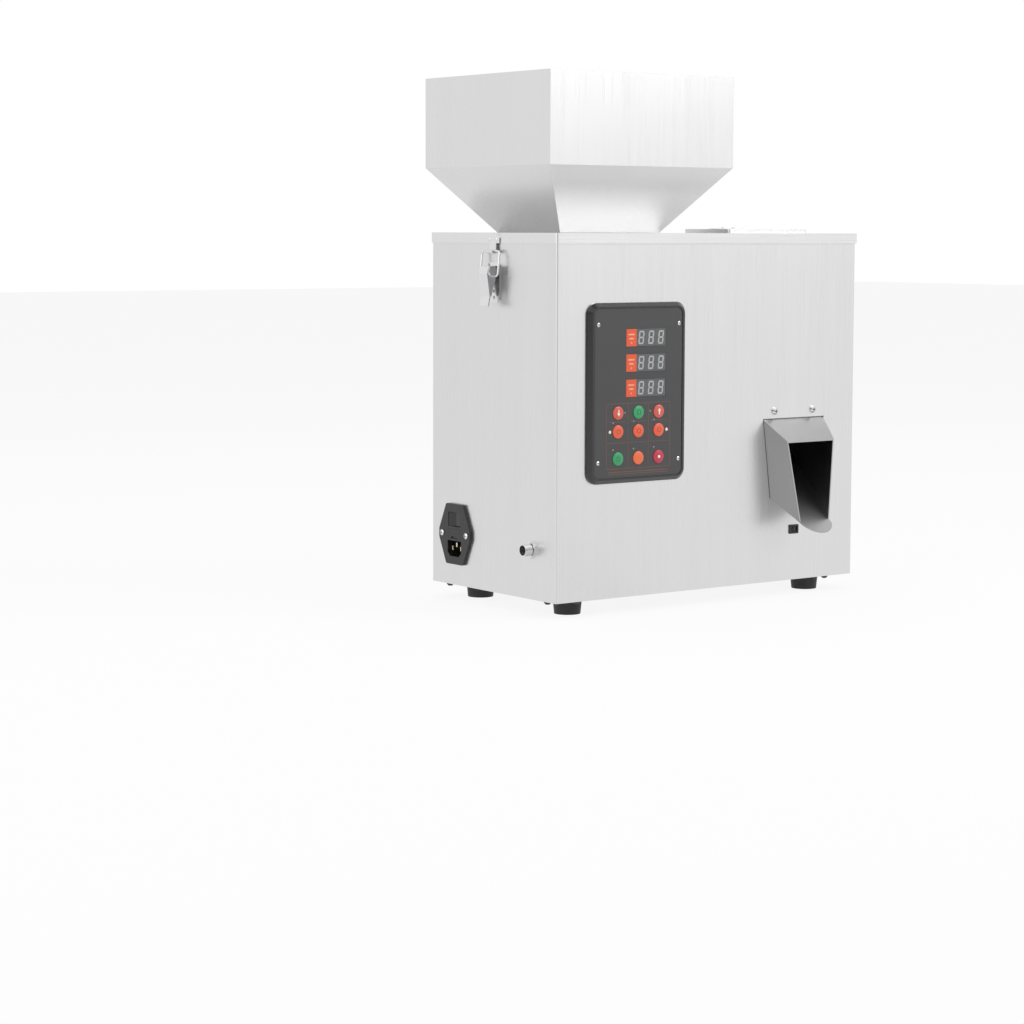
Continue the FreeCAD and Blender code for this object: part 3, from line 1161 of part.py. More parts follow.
def power_switch():
    """Rocker at rest on its OFF side, turning on a pin across its well."""
    pivot = Vec(INLET_FACE + ROCKER_PIVOT_IN, INLET_Y, INLET_Z + ROCKER_UP)
    low = pivot.z - ROCKER_TALL / 2
    middle_x = INLET_FACE + ROCKER_MIDDLE_IN
    edge = ROCKER_WIDTH / 2 - ROCKER_EDGE
    edge_x = middle_x - ROCKER_WIDTH / 2 * math.tan(math.radians(ROCKER_TILT))
    shoulder_x = pivot.x + ROCKER_SHOULDER
    outline = [(middle_x, pivot.y), (edge_x, pivot.y + edge), (shoulder_x, pivot.y + edge),
               (pivot.x + ROCKER_KEEL, pivot.y), (shoulder_x, pivot.y - edge), (edge_x, pivot.y - edge)]
    rocker = prism(outline, "z", (low, low + ROCKER_TALL))
    pin = rod((pivot.x, pivot.y, low - ROCKER_PLAY), (0, 0, 1), ROCKER_PIN_R, ROCKER_TALL + 2 * ROCKER_PLAY)
    rocker = joined(rocker, pin)
    return rocker.rotated(pivot, Vec(0, 0, 1), ROCKER_TILT)


def fuse_drawer():
    """Drawer that holds the fuse, with a finger groove in its face."""
    z = span(INLET_Z + FUSE_UP, FUSE_TALL)
    drawer = slab((INLET_FACE, INLET_FACE + FUSE_DEPTH), span(INLET_Y, FUSE_WIDTH), z)
    groove = slab((INLET_FACE, INLET_FACE + FUSE_GROOVE_DEPTH), span(INLET_Y, FUSE_GROOVE_WIDTH),
                  (z[0], z[0] + FUSE_GROOVE_TALL))
    fuse_bay = slab((INLET_FACE + FUSE_FRONT_WALL, INLET_FACE + FUSE_DEPTH - FUSE_END_WALL),
                    span(INLET_Y, FUSE_BAY_WIDTH), (z[0] + FUSE_BAY_FLOOR, z[1]))
    return drawer.cut([groove, fuse_bay])


# ---- foot switch connector ----
def connector_shell():
    """Threaded barrel with a flange inside the case and a socket at its outer end."""
    start = (LEFT - CONNECTOR_PROUD, CONNECTOR_Y, CONNECTOR_Z)
    length = CONNECTOR_PROUD + CONNECTOR_INSIDE
    neck = rod(start, (1, 0, 0), CONNECTOR_NECK_R, length)
    thread = rod(start, (1, 0, 0), CONNECTOR_R, CONNECTOR_THREAD_END - start[0])
    flange = rod((LEFT + SHEET, CONNECTOR_Y, CONNECTOR_Z), (1, 0, 0), CONNECTOR_FLANGE_R, CONNECTOR_FLANGE)
    return joined(neck, thread, flange).cut(rod(start, (1, 0, 0), CONNECTOR_BORE_R, length))


def connector_nut():
    nut = placed(hexagon(CONNECTOR_NUT_R, CONNECTOR_NUT_H), (LEFT, CONNECTOR_Y, CONNECTOR_Z), (-1, 0, 0))
    bore = rod((LEFT - CONNECTOR_NUT_H, CONNECTOR_Y, CONNECTOR_Z), (1, 0, 0), CONNECTOR_R + CONNECTOR_PLAY,
               CONNECTOR_NUT_H)
    return nut.cut(bore)


def connector_insert():
    """Insulator in the barrel with its ring of contact pins."""
    face = LEFT - CONNECTOR_PROUD + CONNECTOR_INSERT_SUNK
    length = CONNECTOR_PROUD - CONNECTOR_INSERT_SUNK + CONNECTOR_INSIDE
    solids = [rod((face, CONNECTOR_Y, CONNECTOR_Z), (1, 0, 0), CONNECTOR_BORE_R - CONNECTOR_PLAY, length)]
    for index in range(CONNECTOR_PIN_COUNT):
        turn = 2 * math.pi * (index + 0.5) / CONNECTOR_PIN_COUNT
        y = CONNECTOR_Y + CONNECTOR_PIN_CIRCLE_R * math.cos(turn)
        z = CONNECTOR_Z + CONNECTOR_PIN_CIRCLE_R * math.sin(turn)
        solids.append(rod((face - CONNECTOR_PIN_LENGTH, y, z), (1, 0, 0), CONNECTOR_PIN_R, CONNECTOR_PIN_LENGTH))
    return joined(*solids)


# ---- vibratory feeder ----
def leaning_x(foot_x, z):
    """X at a height on a plane that leans back like the leaf springs."""
    return foot_x - (z - VIBRATOR_BOTTOM) * LEAN


def spring_feet():
    """X of the two spring planes at the bottom of the vibrator block."""
    left = CARRIER_LEFT + (CARRIER_TOP - VIBRATOR_BOTTOM) * LEAN
    return left, left + CARRIER_LENGTH


def leaning_block(left, right, z, y):
    """Block whose two ends lean like the springs."""
    outline = [(leaning_x(left, z[0]), z[0]), (leaning_x(right, z[0]), z[0]),
               (leaning_x(right, z[1]), z[1]), (leaning_x(left, z[1]), z[1])]
    return prism(outline, "y", y)


def feed_tray():
    """Round-cornered trough with an open outlet, on its spring carrier and magnet armature."""
    x = (HOPPER_X - THROAT_WIDTH / 2 - TRAY_BEHIND_THROAT, BUCKET_LEFT + TRAY_OVER_BUCKET)
    top = TRAY_UNDER + TRAY_TALL
    y = span(FEED_LINE_Y, TRAY_WIDTH)
    trough = rounded(slab(x, y, (TRAY_UNDER, top)), "x", TRAY_BEND, [(side, TRAY_UNDER) for side in y])
    inner_y = span(FEED_LINE_Y, TRAY_WIDTH - 2 * TRAY_SHEET)
    hollow = slab((x[0] + TRAY_SHEET, x[1] + TRAY_SHEET), inner_y, (TRAY_FLOOR, top))
    hollow = rounded(hollow, "x", TRAY_BEND - TRAY_SHEET, [(side, TRAY_FLOOR) for side in inner_y])
    lip_cut = prism([(x[1] - TRAY_LIP_CUT, top), (x[1], top), (x[1], TRAY_FLOOR + TRAY_SHEET)], "y", y)
    trough = trough.cut([hollow, lip_cut])
    left, right = spring_feet()
    width = span(FEED_LINE_Y, SPRING_WIDTH)
    plate_z = (CARRIER_TOP - CARRIER_PLATE, CARRIER_TOP)
    block_z = (CARRIER_BOTTOM, CARRIER_TOP - CARRIER_PLATE)
    plate = leaning_block(left, right, plate_z, width)
    rear_block = leaning_block(left, left + CARRIER_BLOCK, block_z, width)
    front_block = leaning_block(right - CARRIER_BLOCK, right, block_z, width)
    face = armature_face()
    armature = slab((face, face + ARMATURE), span(FEED_LINE_Y, MAGNET_WIDTH),
                    (VIBRATOR_TOP + MAGNET_GAP, CARRIER_TOP - CARRIER_PLATE))
    return joined(trough, plate, rear_block, front_block, armature)


def armature_face():
    """X of the armature's face towards the magnet."""
    return leaning_x(spring_feet()[1], CARRIER_TOP) - ARMATURE_FROM_RIGHT


def leaf_springs():
    """Leaning spring packs outside the ends of the block and the carrier."""
    thickness = SPRING_THICKNESS / math.cos(math.radians(SPRING_ANGLE))
    z = (VIBRATOR_TOP - SPRING_CLAMP, CARRIER_BOTTOM + SPRING_CLAMP)
    left, right = spring_feet()
    width = span(FEED_LINE_Y, SPRING_WIDTH)
    return [leaning_block(left - thickness, left, z, width), leaning_block(right, right + thickness, z, width)]


def vibrator_base():
    left, right = spring_feet()
    return leaning_block(left, right, (VIBRATOR_BOTTOM, VIBRATOR_TOP), span(FEED_LINE_Y, VIBRATOR_WIDTH))


def rubber_mounts():
    left, right = spring_feet()
    spots = [(x, FEED_LINE_Y + j * RUBBER_INSET)
             for x in (left + RUBBER_INSET, right - RUBBER_INSET) for j in (-1, 1)]
    return [rod((x, y, STAND_TOP), (0, 0, 1), RUBBER_R, RUBBER_HEIGHT) for x, y in spots]


def magnet():
    """Electromagnet on the vibrator block, facing the armature across a small gap."""
    face = armature_face() - MAGNET_GAP
    core = slab((face - MAGNET_LENGTH, face), span(FEED_LINE_Y, MAGNET_WIDTH),
                (VIBRATOR_TOP, VIBRATOR_TOP + MAGNET_HEIGHT))
    coil = slab(span(face - MAGNET_LENGTH / 2, COIL_LENGTH), span(FEED_LINE_Y, COIL_WIDTH),
                (VIBRATOR_TOP, VIBRATOR_TOP + COIL_HEIGHT))
    return joined(core, rounded(coil, "x", TRAY_BEND / 2))


def feeder_stand():
    """Folded bridge that carries the vibrator over the base plate."""
    left, right = spring_feet()
    low, high = left - STAND_MARGIN, right + STAND_MARGIN
    bends = [(low - STAND_FOOT, BASE_TOP), (low, BASE_TOP), (low, STAND_TOP - STAND_SHEET),
             (high, STAND_TOP - STAND_SHEET), (high, BASE_TOP), (high + STAND_FOOT, BASE_TOP)]
    return folded(bends, STAND_SHEET, "y", span(FEED_LINE_Y, STAND_WIDTH))


def transformer():
    """Mains transformer on the base plate under the stand."""
    middle = sum(spring_feet()) / 2
    core = slab(span(middle, TRANSFORMER_LENGTH), span(FEED_LINE_Y, TRANSFORMER_THICKNESS),
                (BASE_TOP, BASE_TOP + TRANSFORMER_HEIGHT))
    coil = slab(span(middle, TRANSFORMER_COIL_LENGTH), span(FEED_LINE_Y, TRANSFORMER_COIL_THICKNESS),
                span(BASE_TOP + TRANSFORMER_HEIGHT / 2, TRANSFORMER_COIL_HEIGHT))
    return joined(core, rounded(coil, "z", SHEET))


# ---- weigh bucket ----
def weigh_bucket():
    """Square bucket with ears for the flap and a tab that hangs it on the load cell."""
    x = span(CHUTE_X, 2 * BUCKET_HALF)
    y = span(FEED_LINE_Y, 2 * BUCKET_HALF)
    z = (BUCKET_BOTTOM, BUCKET_TOP)
    walls = rounded(slab(x, y, z), "z", 2 * BUCKET_WALL)
    hollow = slab(span(CHUTE_X, BUCKET_INSIDE), span(FEED_LINE_Y, BUCKET_INSIDE), z)
    ears = []
    for low in (x[0], x[1] - BUCKET_WALL):
        ear_z = span(FLAP_Z, 2 * FLAP_EAR_R)
        ear = slab((low, low + BUCKET_WALL), (BUCKET_BACK - 3 * BUCKET_WALL, FLAP_Y), ear_z)
        ears += [ear, rod((low, FLAP_Y, FLAP_Z), (1, 0, 0), FLAP_EAR_R, BUCKET_WALL)]
    tab_x = (x[0] + HANGER_FROM_LEFT, x[0] + HANGER_FROM_LEFT + HANGER_WIDTH)
    tab = slab(tab_x, (BUCKET_BACK - BUCKET_WALL, LOAD_CELL_Y + LOAD_CELL_SIDE),
               (LOAD_CELL_TOP, LOAD_CELL_TOP + SHEET))
    bore = rod((x[0] - BUCKET_WALL, FLAP_Y, FLAP_Z), (1, 0, 0), FLAP_PIN_R + FLAP_PIN_PLAY, 3 * BUCKET_HALF)
    return joined(walls, *ears, tab).cut([rounded(hollow, "z", BUCKET_WALL), bore])


def bucket_flap():
    """Bottom flap with its pin and the lever arm that the plunger lifts."""
    plate_z = (FLAP_TOP - FLAP_SHEET, FLAP_TOP)
    outer = BUCKET_HALF + FLAP_LIP_SHEET + FLAP_PLAY * 2
    front = FEED_LINE_Y - BUCKET_HALF - FLAP_PLAY
    clear_of_ears = BUCKET_BACK - 4 * BUCKET_WALL - FLAP_PLAY
    plate = slab(span(CHUTE_X, 2 * outer), (front, clear_of_ears), plate_z)
    inner = BUCKET_HALF - BUCKET_WALL - FLAP_PLAY
    tail = slab(span(CHUTE_X, 2 * inner), (clear_of_ears, FLAP_Y), plate_z)
    solids = [plate, tail]
    for side in (-1, 1):
        lip_x = sorted((CHUTE_X + side * outer, CHUTE_X + side * (outer - FLAP_LIP_SHEET)))
        solids.append(slab(lip_x, (front, clear_of_ears), (plate_z[0], plate_z[0] + FLAP_LIP)))
    pin_start = CHUTE_X - BUCKET_HALF - FLAP_PIN_R
    arm_end = ARM_X + LEVER_ARM_THICKNESS / 2
    solids.append(rod((pin_start, FLAP_Y, FLAP_Z), (1, 0, 0), FLAP_PIN_R, arm_end - pin_start))
    arm_start = ARM_X - LEVER_ARM_THICKNESS / 2
    arm = slab((arm_start, arm_end), (FLAP_Y, FLAP_Y + LEVER_ARM), span(FLAP_Z, LEVER_ARM_TIP_R))
    arm = arm.rotated(Vec(0, FLAP_Y, FLAP_Z), Vec(1, 0, 0), -FLAP_OPEN / 2)
    solids.append(arm)
    for y, z in ((FLAP_Y, FLAP_Z), (ARM_TIP_Y, ARM_TIP_Z)):
        solids.append(rod((arm_start, y, z), (1, 0, 0), LEVER_ARM_TIP_R, LEVER_ARM_THICKNESS))
    return joined(*solids)


def solenoid():
    """Coil can with a bore for the plunger."""
    can = slab(span(ARM_X, SOLENOID_SIDE), span(PLUNGER_Y, SOLENOID_SIDE), (SOLENOID_BOTTOM, SOLENOID_TOP))
    bore = rod((ARM_X, PLUNGER_Y, SOLENOID_BOTTOM), (0, 0, 1), PLUNGER_R + PLUNGER_PLAY, SOLENOID_TALL)
    return rounded(can, "z", M3_R).cut(bore)


def plunger():
    """Push rod with a flat head under the flap's lever and a stop collar below the coil."""
    low = SOLENOID_BOTTOM - PLUNGER_BELOW
    stem = rod((ARM_X, PLUNGER_Y, low), (0, 0, 1), PLUNGER_R, PLUNGER_TOP - low)
    head = rod((ARM_X, PLUNGER_Y, PLUNGER_TOP - PLUNGER_HEAD), (0, 0, 1), PLUNGER_HEAD_R, PLUNGER_HEAD)
    collar = rod((ARM_X, PLUNGER_Y, low), (0, 0, 1), PLUNGER_COLLAR_R, PLUNGER_HEAD)
    return joined(stem, head, collar)


def load_cell():
    """Aluminium beam with the double bore that makes it bend evenly."""
    x = (LOAD_CELL_RIGHT - LOAD_CELL_LENGTH, LOAD_CELL_RIGHT)
    y = (LOAD_CELL_Y, LOAD_CELL_Y + LOAD_CELL_SIDE)
    z = (LOAD_CELL_BOTTOM, LOAD_CELL_TOP)
    middle_x, middle_z = sum(x) / 2, sum(z) / 2
    bores = [rod((middle_x + i * LOAD_CELL_HOLE_PITCH / 2, y[0], middle_z), (0, 1, 0), LOAD_CELL_HOLE_R,
                 LOAD_CELL_SIDE) for i in (-1, 1)]
    bores.append(slab(span(middle_x, LOAD_CELL_HOLE_PITCH), y, span(middle_z, LOAD_CELL_HOLE_R)))
    return slab(x, y, z).cut(bores)


def load_cell_bracket():
    """Folded column with a shelf for the load cell and a block for the solenoid."""
    bends = [(LOAD_CELL_RIGHT, LOAD_CELL_BOTTOM), (COLUMN_X, LOAD_CELL_BOTTOM), (COLUMN_X, BASE_TOP),
             (COLUMN_X + COLUMN_FOOT, BASE_TOP)]
    column = folded(bends, COLUMN_SHEET, "y", span(LOAD_CELL_Y + LOAD_CELL_SIDE / 2, COLUMN_WIDTH))
    block = slab((ARM_X + SOLENOID_SIDE / 2, COLUMN_X), span(PLUNGER_Y, SOLENOID_SIDE),
                 span((SOLENOID_BOTTOM + SOLENOID_TOP) / 2, SOLENOID_TALL / 2))
    return joined(column, block)


def make_parts():
    """Every piece by name: one solid, or a list of separate like solids."""
    parts = {
        "case_wrap": case_wrap(), "rear_panel": rear_panel(), "rear_screws": rear_screws(),
        "base_plate": base_plate(), "base_screws": base_screws(), "feet": feet(), "foot_screws": foot_screws(),
        "lid": lid(), "hopper": hopper(), "keepers": keepers(), "feed_gate": feed_gate(),
        "gate_screw": gate_screw(), "hatch": hatch(), "hatch_leaf": hatch_leaf(), "hatch_hinge": hatch_hinge(),
        "hatch_screws": hatch_screws(), "latch_bases": latch_bases(),
        "latch_lever_left": latch_lever(), "latch_lever_right": mirrored(latch_lever()),
        "latch_bail_left": latch_bail(), "latch_bail_right": mirrored(latch_bail()),
        "panel_bezel": panel_bezel(), "panel_overlay": panel_overlay(), "panel_screws": panel_screws(),
        "displays": displays(), "indicator_leds": indicator_leds(), "control_board": control_board(),
        "discharge_chute": discharge_chute(), "chute_screws": chute_screws(), "bag_sensor": bag_sensor(),
        "inlet_housing": inlet_housing(), "inlet_pins": inlet_pins(), "inlet_screws": inlet_screws(),
        "power_switch": power_switch(), "fuse_drawer": fuse_drawer(), "connector_shell": connector_shell(),
        "connector_nut": connector_nut(), "connector_insert": connector_insert(), "feed_tray": feed_tray(),
        "leaf_springs": leaf_springs(), "vibrator_base": vibrator_base(), "rubber_mounts": rubber_mounts(),
        "magnet": magnet(), "feeder_stand": feeder_stand(), "transformer": transformer(),
        "weigh_bucket": weigh_bucket(), "bucket_flap": bucket_flap(), "solenoid": solenoid(),
        "plunger": plunger(), "load_cell": load_cell(), "load_cell_bracket": load_cell_bracket(),
    }
    for number, (x, z) in enumerate(button_spots(), 1):
        parts["button_%d" % number] = button(x, z)
    return parts


def main():
    os.makedirs("parts", exist_ok=True)
    for name, shape in make_parts().items():
        if isinstance(shape, list):
            shape = Part.makeCompound(shape)
        moved = shape.copy()
        moved.translate(Vec(0, -MIDDLE_Y, 0))
        moved.exportStep("parts/%s.step" % name)


main()
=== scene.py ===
import math

import bmesh
import bpy
from bpy.props import FloatProperty, FloatVectorProperty, PointerProperty
from mathutils import Matrix, Vector


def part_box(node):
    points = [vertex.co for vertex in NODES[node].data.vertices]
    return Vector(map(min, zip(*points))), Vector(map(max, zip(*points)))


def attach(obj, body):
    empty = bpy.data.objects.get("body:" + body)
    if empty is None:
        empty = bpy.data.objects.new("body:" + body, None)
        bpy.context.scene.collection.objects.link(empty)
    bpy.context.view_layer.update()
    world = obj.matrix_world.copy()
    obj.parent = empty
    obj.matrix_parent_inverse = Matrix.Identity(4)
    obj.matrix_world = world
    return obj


bl_info = {
    "name": "Powder Filler Finish",
    "version": (1, 0, 0),
    "blender": (4, 5, 0),
    "location": "3D View > Sidebar > Powder Filler",
    "description": "Finishes a bench-top powder filler with steel, plastics, printed keys and a studio stage",
    "category": "Object",
}

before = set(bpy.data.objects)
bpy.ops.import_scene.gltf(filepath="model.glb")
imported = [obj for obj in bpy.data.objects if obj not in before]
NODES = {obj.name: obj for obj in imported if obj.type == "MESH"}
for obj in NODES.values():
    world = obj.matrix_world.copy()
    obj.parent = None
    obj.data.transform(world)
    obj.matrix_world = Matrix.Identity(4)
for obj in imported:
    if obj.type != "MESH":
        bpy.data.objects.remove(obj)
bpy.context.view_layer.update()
MM = 0.001

FEED_NODES = ("feed_tray", "feed_gate", "weigh_bucket", "bucket_flap")
PLATED_NODES = ("keepers", "latch_bases", "latch_lever_left", "latch_lever_right", "latch_bail_left",
                "latch_bail_right", "hatch_leaf", "hatch_hinge", "connector_shell", "connector_nut")
SCREW_NODES = ("rear_screws", "chute_screws", "hatch_screws", "panel_screws", "inlet_screws", "foot_screws",
               "gate_screw")
BLACK_MOULD_NODES = ("inlet_housing", "fuse_drawer", "power_switch", "bag_sensor", "connector_insert")
BUTTONS = tuple("button_%d" % number for number in range(1, 10))


# ---- sizes and colours that a user would change ----
class FinishSettings(bpy.types.PropertyGroup):
    """Colours of the filler's surfaces."""
    steel: FloatVectorProperty(name="Steel", description="Brushed stainless sheet", subtype="COLOR", size=3,
                               min=0, max=1, default=(0.70, 0.70, 0.70))
    chute_steel: FloatVectorProperty(name="Chute steel", description="Duller steel of the discharge chute",
                                     subtype="COLOR", size=3, min=0, max=1, default=(0.40, 0.40, 0.40))
    chrome: FloatVectorProperty(name="Plating", description="Bright plating of latches and screws",
                                subtype="COLOR", size=3, min=0, max=1, default=(0.72, 0.72, 0.73))
    bezel: FloatVectorProperty(name="Bezel", description="Moulded panel frame", subtype="COLOR", size=3,
                               min=0, max=1, default=(0.012, 0.012, 0.013))
    overlay: FloatVectorProperty(name="Overlay", description="Printed panel sheet", subtype="COLOR", size=3,
                                 min=0, max=1, default=(0.050, 0.050, 0.052))
    label: FloatVectorProperty(name="Label", description="Orange strip beside each display", subtype="COLOR",
                               size=3, min=0, max=1, default=(0.76, 0.10, 0.035))
    rubber: FloatVectorProperty(name="Rubber", description="Feet", subtype="COLOR", size=3, min=0, max=1,
                                default=(0.010, 0.010, 0.010))


class StageSettings(bpy.types.PropertyGroup):
    """Camera, lamps and floor."""
    camera_place: FloatVectorProperty(
        name="Camera", description="Camera's place from the middle of the case's base",
        subtype="TRANSLATION", unit="LENGTH", size=3, default=(-1.6049, -1.9556, 0.3414))
    yaw: FloatProperty(name="Yaw", description="Turn of the view to the right of +Y", subtype="ANGLE",
                       default=math.radians(36.373))
    pitch: FloatProperty(name="Pitch", description="Dip of the view", subtype="ANGLE",
                         default=math.radians(5.106))
    roll: FloatProperty(name="Roll", description="Roll of the view", subtype="ANGLE",
                        default=math.radians(0.152))
    lens: FloatProperty(name="Lens", description="Focal length on a 36 mm sensor, in millimetres", min=10,
                        default=89.64)
    shift: FloatProperty(name="Shift", description="Vertical shift of the frame", default=-0.0498)
    key_power: FloatProperty(name="Key lamp", description="Power of the large lamp at the front right",
                             min=0, unit="POWER", default=34.0)
    fill_power: FloatProperty(name="Fill lamp", description="Power of the lamps at the left and above",
                              min=0, unit="POWER", default=14.0)
    ambient: FloatProperty(name="Ambient", description="Level of the room light", min=0, default=0.55)


def finish():
    return bpy.context.scene.filler_finish


# ---- shader maths ----
class Signal:
    """A socket or a number in a material, with maths that adds nodes."""

    def __init__(self, graph, value):
        self.graph = graph
        self.value = value

    def maths(self, operation, other=0.0, third=0.0):
        return self.graph.node("ShaderNodeMath", {"operation": operation}, self, other, third)

    def __add__(self, other):
        return self.maths("ADD", other)

    def __radd__(self, other):
        return self.maths("ADD", other)

    def __sub__(self, other):
        return self.maths("SUBTRACT", other)

    def __rsub__(self, other):
        return self.graph.signal(other).maths("SUBTRACT", self)

    def __mul__(self, other):
        return self.maths("MULTIPLY", other)

    def __rmul__(self, other):
        return self.maths("MULTIPLY", other)

    def clamped(self):
        """Value held between 0 and 1."""
        return self.graph.node("ShaderNodeClamp", {}, self)


class Graph:
    """Nodes of one material or world."""

    def __init__(self, owner):
        owner.use_nodes = True
        self.tree = owner.node_tree
        self.tree.nodes.clear()

    def signal(self, value):
        return value if isinstance(value, Signal) else Signal(self, value)

    def node(self, kind, settings, *values, output=0, **named):
        """Output of a new node, with its settings made first and then its inputs by place or name."""
        made = self.tree.nodes.new(kind)
        for key, value in settings.items():
            setattr(made, key, value)
        slots = list(enumerate(values)) + [(key.replace("_", " "), value) for key, value in named.items()]
        for key, value in slots:
            self.plug(made.inputs[key], value)
        return Signal(self, made.outputs[output]) if made.outputs else None

    def plug(self, socket, value):
        value = value.value if isinstance(value, Signal) else value
        if isinstance(value, bpy.types.NodeSocket):
            self.tree.links.new(value, socket)
        elif value is not None:
            socket.default_value = value

    def place(self):
        """Point on the piece, in metres in the row frame."""
        return self.node("ShaderNodeTexCoord", {}, output="Object")

    def stretched(self, scale):
        """Point on the piece with each axis scaled."""
        return self.node("ShaderNodeVectorMath", {"operation": "MULTIPLY"}, self.place(), scale)

    def noise(self, scale, detail=3.0, roughness=0.5):
        """Noise around 0.5, finer along an axis with a larger scale."""
        return self.node("ShaderNodeTexNoise", {}, Vector=self.stretched(scale), Scale=1.0, Detail=detail,
                         Roughness=roughness)

    def tinted(self, colour, shade):
        """Colour brightened or darkened by a shade around 1."""
        return self.node("ShaderNodeVectorMath", {"operation": "SCALE"}, tuple(colour), Scale=shade)

    def surface(self, shader):
        self.node("ShaderNodeOutputMaterial", {}, shader)


def material(name, base, roughness, bump=None, bump_depth=0.0, metallic=0.0, **sockets):
    """Principled material; base, roughness and bump are functions of the graph, or plain values."""
    made = bpy.data.materials.new(name)
    graph = Graph(made)
    colour = base(graph) if callable(base) else (*base, 1)
    rough = roughness(graph) if callable(roughness) else roughness
    inputs = {"Base_Color": colour, "Roughness": rough, "Metallic": metallic, **sockets}
    if bump is not None:
        inputs["Normal"] = graph.node("ShaderNodeBump", {}, Strength=1.0, Distance=bump_depth,
                                      Height=bump(graph))
    graph.surface(graph.node("ShaderNodeBsdfPrincipled", {}, **inputs))
    return made


# Noise scales, per metre, across and along the brushing.
STREAKS_ACROSS, STREAKS_ALONG = 1400.0, 9.0
BANDS_ACROSS, BANDS_ALONG = 26.0, 0.7
SMUDGES = (9.0, 9.0, 9.0)
STREAK_DEPTH = 0.00002


def along_grain(across, along, grain):
    """Noise scales that are the same across the brushing and coarser along it."""
    return [along if axis == grain else across for axis in range(3)]


def brushed_steel(name, colour, grain, roughness=0.30, unevenness=0.05):
    """Stainless sheet brushed along an axis: fine streaks, broad soft bands and faint handling marks."""
    fine = along_grain(STREAKS_ACROSS, STREAKS_ALONG, grain)
    broad = along_grain(BANDS_ACROSS, BANDS_ALONG, grain)

    def base(graph):
        streaks = graph.noise(fine, 4.0, 0.6) - 0.5
        bands = graph.noise(broad, 2.0) - 0.5
        return graph.tinted(colour, 1 + streaks * (unevenness * 1.6) + bands * unevenness)

    def rough(graph):
        streaks = graph.noise(fine, 2.0) - 0.5
        smudges = graph.noise(SMUDGES, 4.0) - 0.5
        return (roughness + streaks * 0.16 + smudges * 0.05).clamped()

    return material(name, base, rough, lambda graph: graph.noise(fine, 3.0), STREAK_DEPTH, metallic=1.0)


def plated(name, colour, roughness):
    """Bright plating with slight polishing marks."""
    return material(name, lambda graph: graph.tinted(colour, 1 + (graph.noise((300, 300, 300)) - 0.5) * 0.08),
                    lambda graph: (roughness + (graph.noise((700, 700, 90)) - 0.5) * 0.12).clamped(),
                    lambda graph: graph.noise((900, 900, 900)), 0.00001, metallic=1.0)


def moulded(name, colour, roughness, grain_depth=0.00004, grain=1800.0, **sockets):
    """Moulded plastic or rubber with a fine spark-eroded grain."""
    scale = (grain, grain, grain)
    return material(name, lambda graph: graph.tinted(colour, 1 + (graph.noise((90, 90, 90)) - 0.5) * 0.14),
                    lambda graph: (roughness + (graph.noise((160, 160, 160)) - 0.5) * 0.12).clamped(),
                    lambda graph: graph.noise(scale, 2.0), grain_depth, **sockets)


def laminated(name, colour, axis, pitch):
    """Stack of varnished plates whose edges show as ridges across an axis."""
    scale = [0.0, 0.0, 0.0]
    scale[axis] = 2 * math.pi / pitch

    def ridges(graph):
        place = graph.stretched(scale)
        return graph.node("ShaderNodeTexWave", {"bands_direction": "XYZ"[axis]}, Vector=place, Scale=0.3)

    return material(name, lambda graph: graph.tinted(colour, 0.8 + ridges(graph) * 0.4), 0.45, ridges, 0.0001)


def put_on(node_names, made):
    """Gives CAD nodes a material in all their slots."""
    for name in node_names:
        mesh = NODES[name].data
        mesh.materials.clear()
        mesh.materials.append(made)


# ---- mesh helpers ----
def piece(name, mesh, body, made, bevel=0.0):
    """New piece of the object from a bmesh, riding on a body."""
    data = bpy.data.meshes.new(name)
    bmesh.ops.recalc_face_normals(mesh, faces=mesh.faces)
    mesh.to_mesh(data)
    mesh.free()
    made_piece = bpy.data.objects.new(name, data)
    bpy.context.scene.collection.objects.link(made_piece)
    data.materials.append(made)
    if bevel:
        edge = made_piece.modifiers.new("edge", "BEVEL")
        edge.width = bevel
        edge.segments = 2
        edge.limit_method = "ANGLE"
    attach(made_piece, body)
    return made_piece


def add_block(mesh, low, high):
    """Adds a block between two corners."""
    made = bmesh.ops.create_cube(mesh, size=1.0)["verts"]
    middle = (Vector(low) + Vector(high)) / 2
    size = Vector(high) - Vector(low)
    bmesh.ops.transform(mesh, matrix=Matrix.Translation(middle) @ Matrix.Diagonal((*size, 1)), verts=made)


def add_outline(mesh, points, depth_way):
    """Adds a flat outline of points thickened along a vector."""
    face = mesh.faces.new([mesh.verts.new(p) for p in points])
    made = bmesh.ops.extrude_face_region(mesh, geom=[face])["geom"]
    verts = [part for part in made if isinstance(part, bmesh.types.BMVert)]
    bmesh.ops.translate(mesh, vec=depth_way, verts=verts)


def add_turned(mesh, profile, centre, axis, sides=40):
    """Adds a lathe form: profile of (radius, distance along the axis) turned about it."""
    axis = Vector(axis).normalized()
    across = axis.orthogonal().normalized()
    start = [mesh.verts.new(Vector(centre) + axis * along + across * radius) for radius, along in profile]
    edges = [mesh.edges.new(pair) for pair in zip(start, start[1:])]
    bmesh.ops.spin(mesh, geom=start + edges, cent=Vector(centre), axis=axis, angle=2 * math.pi, steps=sides,
                   use_merge=True)
    bmesh.ops.remove_doubles(mesh, verts=mesh.verts, dist=1e-7)


